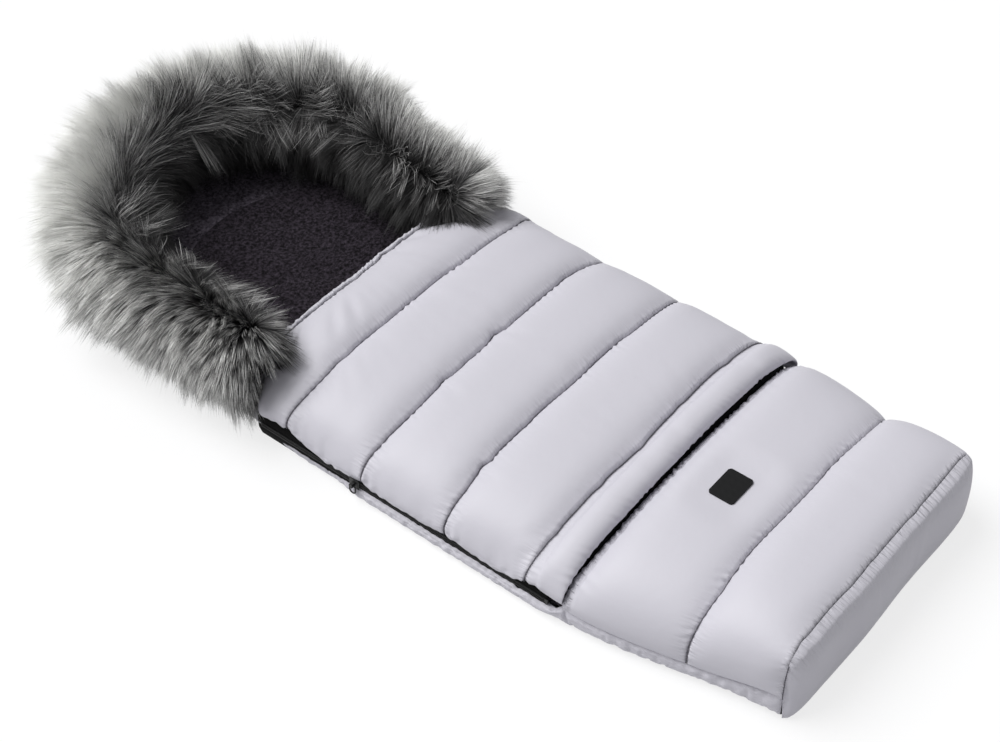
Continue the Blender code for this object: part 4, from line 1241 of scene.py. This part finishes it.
# %% Hard pieces
FINISHES = {
    "_slider": lacquer, "_pull": cord_black, "_stop": lacquer, "_stop_shell": lacquer,
    "_stop_cover": lacquer, "_binding": webbing, "label_patch": label_black,
}
for node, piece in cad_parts.items():
    for ending, material in FINISHES.items():
        if node.endswith(ending):
            piece.data.materials.clear()
            piece.data.materials.append(material)
            print(node, "in", material.name)

# %% [markdown]
# ## Fur
# Faux fur is a knit with a dense dark underfur and long guard hairs, here mostly 4 to 8 cm. The hairs
# gather in locks, and their ends thin out and catch the light. A Blender hair system can't
# leave the file as a mesh, so each hair here is a ribbon of seven triangles, drawn by one routine.
# It lies away from a parting along the collar's crest, sags a little, and leans to its lock. Under
# the hairs lies a dark backing, so that nothing shines through.

# %% The fur's line
FUR_CORE = 0.56
FUR_START = 0.694
FUR_NOSE = 0.032


def fur_line(run):
    """For places along the collar, also on its two noses: centre, outward, how far beyond its ends,
    how slim the nose is there, radius, and the share of the way round."""
    leg = HOOD_CENTRE - FUR_START
    turn = math.pi * HORSESHOE
    whole = 2 * leg + turn
    inside = np.clip(run, 0, whole)
    far_end = smooth((inside / whole - 0.80) / 0.20)
    angle = np.clip((inside - leg) / HORSESHOE, 0, math.pi)
    past = np.clip(inside - leg - turn, 0, leg)
    y = np.where(inside < leg, FUR_START + inside, HOOD_CENTRE + HORSESHOE * np.sin(angle) - past)
    x = -HORSESHOE * np.cos(angle) - 0.021 * far_end
    outward = np.stack([-np.cos(angle), np.sin(angle), 0 * angle], -1)
    beyond = np.clip(np.where(run < 0, -run, run - whole) / FUR_NOSE, 0, 1)
    y = y - beyond * FUR_NOSE * 0.8 - 0.012 * far_end
    share = inside / whole
    radius = 0.064 + 0.005 * smooth(4 * np.minimum(share, 1 - share))
    centre = np.stack([x, y, fur_height(share) - 0.011 * far_end], -1)
    return centre, outward, beyond, (1 - beyond**3) ** (1 / 3), radius, share


# %% The fur's body
def on_fur(run, angle):
    """A point of the fur's body at an angle round its section, and the way straight out of it."""
    centre, outward, beyond, shrink, radius, share = fur_line(run)
    up = np.array((0.0, 0.0, 1.0))
    spoke = outward * np.cos(angle)[:, None] + up * np.sin(angle)[:, None]
    point = centre + spoke * (radius * FUR_CORE * shrink)[:, None]
    point[:, 2] = np.maximum(point[:, 2], 0.012)
    normal = spoke * shrink[:, None] + np.array((0.0, -1.0, 0.0)) * beyond[:, None]
    return point, normal / length(normal)[:, None], outward, beyond, share


whole_run = 2 * (HOOD_CENTRE - FUR_START) + math.pi * HORSESHOE
core_runs = np.linspace(-FUR_NOSE * 0.999, whole_run + FUR_NOSE * 0.999, 160)
core_angles = np.linspace(0, 2 * math.pi, 33)[:-1]
core_rows = [on_fur(np.full(32, r), core_angles)[0] for r in core_runs]
fur_root = new_material("fur_backing", "161616", 1.0, **{"Specular IOR Level": 0.1})
core = grid_object("fur_backing", np.array(core_rows)[:, ::-1], "collar", fur_root, closed=True)
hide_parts("fur_collar", "collar_hem")
print("fur", round(whole_run, 3), "m round the collar")

# %% [markdown]
# ### The fur's colour
# Acrylic fibre, dyed dark at the root and left pale towards the tip, with a soft gloss. Each point of a
# hair carries a `shade`, and one ramp turns that into the fibre's colour. Besides the dye, `shade` holds
# painted light on the collar's outer side and painted shade on its inner side.

# %% Fur material
fur_material = new_material("faux_fur", "8a8a88", 0.62, ior=1.55)
shade = add(fur_material, "ShaderNodeAttribute", attribute_name="shade")
fur_tone = add(fur_material, "ShaderNodeValToRGB", {}, {"Fac": shade.outputs["Fac"]})
ramp = fur_tone.color_ramp
ramp.elements[0].color = linear("161515")
ramp.elements[1].color = linear("f4f4f1")
for position, colour in ((0.2, "464545"), (0.42, "949392"), (0.65, "d2d1cf")):
    ramp.elements.new(position).color = linear(colour)
plug(fur_material, "Base Color", fur_tone.outputs["Color"])
print(fur_material.name, "with", len(ramp.elements), "shades")


# %% [markdown]
# ### One hair, a lock, and the ribbons
# A hair starts between its own normal and the way the fur lies, and bends over step by step. Then the
# hairs of a lock are drawn towards its leader, and at last each hair becomes a ribbon.


# %% Hairs
def grow(roots, normals, lie, lengths, steps=4, sag=0.12, curl=0.25):
    """Points of each hair from its root to its tip."""
    rng = np.random.default_rng(len(roots))
    way = normals * 0.72 + lie * 0.70
    way /= length(way)[:, None]
    points = [roots]
    for _ in range(steps):
        stray = rng.normal(size=roots.shape) * 0.05
        way = way + lie * (curl / steps) + np.array((0, 0, -sag / steps)) + stray
        way /= length(way)[:, None]
        points.append(points[-1] + way * (lengths / steps)[:, None])
    return np.stack(points, 1)


# %% Locks
def gather(points, run, angle, size, pull, seed):
    """Draw each hair towards the middle of its lock, the more the nearer to its tip."""
    rng = np.random.default_rng(seed)
    key = np.stack([run, angle * 0.045, 0 * run], -1)
    count = max(1, int(len(points) / size))
    leaders = rng.choice(len(points), count, replace=False)
    tree = kdtree.KDTree(count)
    for i, leader in enumerate(leaders):
        tree.insert(key[leader], i)
    tree.balance()
    nearest = np.array([tree.find(k)[1] for k in key])
    leader = points[leaders][nearest]
    share = np.linspace(0, 1, points.shape[1])[None, :, None] ** 1.3
    strength = pull * (0.6 + 0.4 * rng.random(len(points)))[:, None, None]
    together = leader - leader[:, :1] + points[:, :1] * 0.45 + leader[:, :1] * 0.55
    return points + (together - points) * share * strength, nearest


# %% Ribbons
def ribbons(name, points, facing, widths, shades, body, material):
    """Ribbons with a pointed tip: a pair of points at each step, and one at the end."""
    count, steps = points.shape[:2]
    along = np.gradient(points, axis=1)
    side = np.cross(along, facing[:, None])
    side /= np.maximum(length(side), 1e-9)[..., None]
    taper = 1 - np.linspace(0, 1, steps)[:-1] ** 1.5 * 0.75
    half = side[:, :-1] * (widths[:, None] * taper / 2)[..., None]
    rails = np.stack([points[:, :-1] - half, points[:, :-1] + half], 2).reshape(count, -1, 3)
    verts = np.concatenate([rails, points[:, -1:]], 1)
    each = verts.shape[1]
    pattern = []
    for i in range(steps - 2):
        a, b, c, d = 2 * i, 2 * i + 1, 2 * i + 3, 2 * i + 2
        pattern += [(a, b, c), (a, c, d)]
    pattern.append((each - 3, each - 2, each - 1))
    faces = (np.array(pattern)[None] + (np.arange(count) * each)[:, None, None]).reshape(-1, 3)
    tone = np.concatenate([np.repeat(shades[:, :-1], 2, axis=1), shades[:, -1:]], 1)
    made = mesh_object(name, verts.reshape(-1, 3), faces, body, material)
    layer = made.data.attributes.new("shade", "FLOAT", "POINT")
    layer.data.foreach_set("value", tone.astype(np.float32).ravel())
    return made


# %% [markdown]
# ### Growing the collar
# The hairs stand anywhere on the body, thrown at random but the same at each run. A parting runs
# along the crest, turned further in at the head; from it the hairs lie outward and inward, swirl a
# little, and at the two noses they fan out over the end.

# %% Where the hairs stand
HAIRS = 170000
LOCK = 40
rng = np.random.default_rng(11)
run = rng.uniform(-FUR_NOSE * 0.98, whole_run + FUR_NOSE * 0.98, HAIRS)
angle = np.radians(rng.uniform(-75, 250, HAIRS))
roots, normals, outward, beyond, share = on_fur(run, angle)
up = np.array((0.0, 0.0, 1.0))
around = -outward * np.sin(angle)[:, None] + up * np.cos(angle)[:, None]
spread = np.stack([run, angle * 0.05, 0 * run], -1)
print(HAIRS, "hairs")

# %% How they lie
leg = smooth(1 - share * 4.0)
head = smooth((share - 0.20) / 0.12) * (1 - smooth((share - 0.64) / 0.12))
parting = np.radians(126 + 22 * head - 2 * leg + 6 * np.sin(run * 21) + 4 * np.sin(run * 47 + 1))
inner = smooth((angle - parting + math.radians(10)) / math.radians(34)) * (1 - 0.45 * leg)
outer = smooth((parting - angle) / np.radians(62 + 58 * leg))
away = np.tanh((angle - parting) / math.radians(18)) * (1 - 0.20 * inner * (1 - leg))
swirl = ripple(spread, 0.8, 0.022, 12) + ripple(spread, 0.4, 0.006, 13)
ends = smooth(1 - 5 * np.minimum(share, 1 - share))
to_end = np.array((0.0, -1.0, 0.0)) * (0.35 * ends)[:, None]
lie = around * away[:, None] + np.cross(outward, up) * swirl[:, None] * 0.5 + to_end
over_nose = outward * 0.55 + np.array((0.0, -0.62, -0.45)) + 0.35 * around * away[:, None]
nose = smooth(beyond * 1.25)[:, None]
lie = lie * (1 - nose) + over_nose * nose
lie /= np.maximum(length(lie), 1e-6)[:, None]
print("parting", [round(math.degrees(v)) for v in (parting.min(), parting.max())], "degrees")

# %% [markdown]
# Most hairs are short and a few are long, which is what makes fur look ragged. About one in five is a
# guard hair, a quarter longer than the rest.

# %% How long they are
lengths = 0.048 + 0.010 * smooth(3.2 * np.minimum(share, 1 - share))
lengths *= 1 + 0.12 * ripple(spread, 1.0, 0.014, 14)
lengths *= (0.60 + 0.60 * rng.random(HAIRS) ** 1.6) * (1 - 0.06 * beyond)
crest = np.exp(-(((angle - parting) / np.radians(45)) ** 2)) * smooth((share - 0.10) / 0.15)
lengths *= 1 - 0.15 * inner * leg
lengths *= 1 - 0.12 * smooth((share - 0.30) / 0.1) * outer
lengths *= 1 + 0.14 * crest
guard = rng.random(HAIRS) < 0.18
lengths *= np.where(guard, 1.25, 1.0)
print("guard hairs", np.percentile(lengths[guard], (5, 50, 95)).round(3), "m")
print("other hairs", np.percentile(lengths[~guard], (5, 50, 95)).round(3), "m")

# %% [markdown]
# The frame sets how far the fur may reach. A hair that would pass that room is shortened, and a
# little unevenly, so that no trimmed edge shows.

# %% Locks, and the room they have
hairs, lock = gather(grow(roots, normals, lie, lengths), run, angle, LOCK, 0.62, 15)
hairs[..., 2] = np.maximum(hairs[..., 2], 0.003)
room = np.array((cad_high.x + 0.022, cad_high.y - TOES + 0.030, cad_high.z + 0.013)) * np.ones((HAIRS, 1))
room[:, 0] -= 0.014 * smooth((share - 0.80) / 0.15)
sideless = hairs.copy()
sideless[..., 0] = np.abs(hairs[..., 0])
reach, from_root = sideless.max(1), sideless[:, 0]
fits = ((room - from_root) / np.maximum(reach - from_root, 1e-4)).min(1).clip(0.2, 1)
hairs = hairs[:, :1] + (hairs - hairs[:, :1]) * (fits * rng.uniform(0.93, 1.0, HAIRS))[:, None, None]
print(round(float((fits < 1).mean()), 2), "of the hairs shortened")

# %% [markdown]
# Shade grows from root to tip. Locks differ from each other, and each hair differs from its neighbours.
# The inner side of the collar, whose tips point into the hood, is darkened: painted shade. The outer
# side is brightened by `lit`, the most at the head: painted light.

# %% From root to tip
t = np.linspace(0, 1, hairs.shape[1])[None]
lock_tone = np.random.default_rng(16).normal(size=lock.max() + 1)[lock][:, None] * 0.16
# Painted light: `lit` brightens the hairs of the collar's outer side, more in its middle than at its legs
# and noses.
along_lit = 0.40 + 1.25 * smooth((share - 0.08) / 0.24) - 0.75 * smooth((share - 0.70) / 0.25)
lit = outer * (1 - 0.5 * beyond) * along_lit
# Painted shade darkens the inner side here and again below; painted light from `lit` lifts the rest.
bright = rng.uniform(0.05, 1.50, HAIRS) * (1 - 0.93 * inner) * (0.72 + 0.50 * lit)
bright *= np.where(guard, 1.2, 1.0)
shades = t ** (1.05 - 0.42 * lit)[:, None] * bright[:, None]
shades = shades + lock_tone * (0.3 + 0.7 * t) + rng.normal(size=(HAIRS, 1)) * 0.13
# Painted shade on the collar's inner side.
shades *= (1 - 0.75 * inner * (1 - leg))[:, None]
# Painted light on the outer side, stronger at the head.
shades += ((0.25 + 0.28 * head) * lit)[:, None]
shades = np.clip(shades, 0, 1)
print("shade from", shades[:, 0].mean().round(2), "at the roots to", shades[:, -1].mean().round(2))

# %% The ribbons
facing = normals * 0.6 + up * 0.6 + rng.normal(size=(HAIRS, 3)) * 0.45
widths = rng.uniform(0.00034, 0.00078, HAIRS) * np.where(guard, 0.75, 1.0) * 1
PIECES = 8
for i, some in enumerate(np.array_split(np.argsort(run), PIECES)):
    ribbons(f"fur_{i + 1}", hairs[some], facing[some], widths[some], shades[some], "collar", fur_material)
print("fur from", hairs.reshape(-1, 3).min(0).round(3), "to", hairs.reshape(-1, 3).max(0).round(3))

# %% [markdown]
# ## Studio
# A pale floor that goes white in the picture, one broad lamp from above and behind the head, and an
# even fill. The camera stands where the photographer stood. Light Path tells the floor who looks: the
# camera, a glossy surface or a clear one sees mostly white light, and everything else plain paint.

# %% Floor
floor_material = new_material("studio_floor", "dcdcde", 0.9, **{"Specular IOR Level": 0.0})
rays = add(floor_material, "ShaderNodeLightPath").outputs
seen = rays["Is Camera Ray"]
for ray in ("Is Glossy Ray", "Is Transmission Ray"):
    both = add(floor_material, "ShaderNodeMath", {}, {0: seen, 1: rays[ray]}, operation="MAXIMUM")
    seen = both.outputs[0]
white = add(floor_material, "ShaderNodeEmission", {"Color": (1.0, 1.0, 1.0, 1.0), "Strength": 1.0})
pale = add(floor_material, "ShaderNodeBsdfDiffuse", {"Color": linear("fdfdfe")})
backdrop = add(
    floor_material, "ShaderNodeMixShader", {"Fac": 0.76}, {1: pale.outputs[0], 2: white.outputs[0]}
)
tree = floor_material.node_tree
shown = add(
    floor_material, "ShaderNodeMixShader", {},
    {"Fac": seen, 1: tree.nodes["Principled BSDF"].outputs[0], 2: backdrop.outputs[0]},
)
tree.links.new(shown.outputs[0], tree.nodes["Material Output"].inputs["Surface"])
floor_mesh = bpy.data.meshes.new("floor")
floor_mesh.from_pydata([(-6, -6, 0), (6, -6, 0), (6, 6, 0), (-6, 6, 0)], [], [(0, 1, 2, 3)])
floor_mesh.materials.append(floor_material)
floor = bpy.data.objects.new("studio_floor", floor_mesh)
bpy.context.scene.collection.objects.link(floor)
floor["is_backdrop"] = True
print("floor 12 m wide")

# %% Light
scene = bpy.context.scene
world = bpy.data.worlds.new("studio")
scene.world = world
world.use_nodes = True
background = world.node_tree.nodes["Background"]
background.inputs["Color"].default_value = (0.97, 0.98, 1.0, 1.0)
background.inputs["Strength"].default_value = 0.33
lamp = bpy.data.lights.new("softbox", "SUN")
lamp.energy = 2.85
lamp.angle = math.radians(45)
lamp_object = bpy.data.objects.new("softbox", lamp)
scene.collection.objects.link(lamp_object)
lamp_object.rotation_mode = "QUATERNION"
lamp_object.rotation_quaternion = Vector((0.26, -0.62, -1)).to_track_quat("-Z", "Y")
print("lamp", lamp.energy, "fill", 0.33)

# %% Camera
azimuth, elevation = math.radians(-51.251), math.radians(44.5)
back = Vector((
    math.sin(azimuth) * math.cos(elevation), -math.cos(azimuth) * math.cos(elevation), math.sin(elevation)
))
camera = bpy.data.cameras.new("camera")
camera.lens, camera.sensor_width = 68.4, 36.0
camera_object = bpy.data.objects.new("camera", camera)
scene.collection.objects.link(camera_object)
camera_object.location = Vector((0.0304, -0.0371, 0.0)) + back * 2.171
camera_object.rotation_mode = "QUATERNION"
camera_object.rotation_quaternion = (-back).to_track_quat("-Z", "Y")
scene.camera = camera_object
scene.view_settings.view_transform = "Standard"
print("camera at", [round(v, 3) for v in camera_object.location])

# %% Sizes
low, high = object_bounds()
print("shown box", [round(v, 3) for v in (*low, *high)])
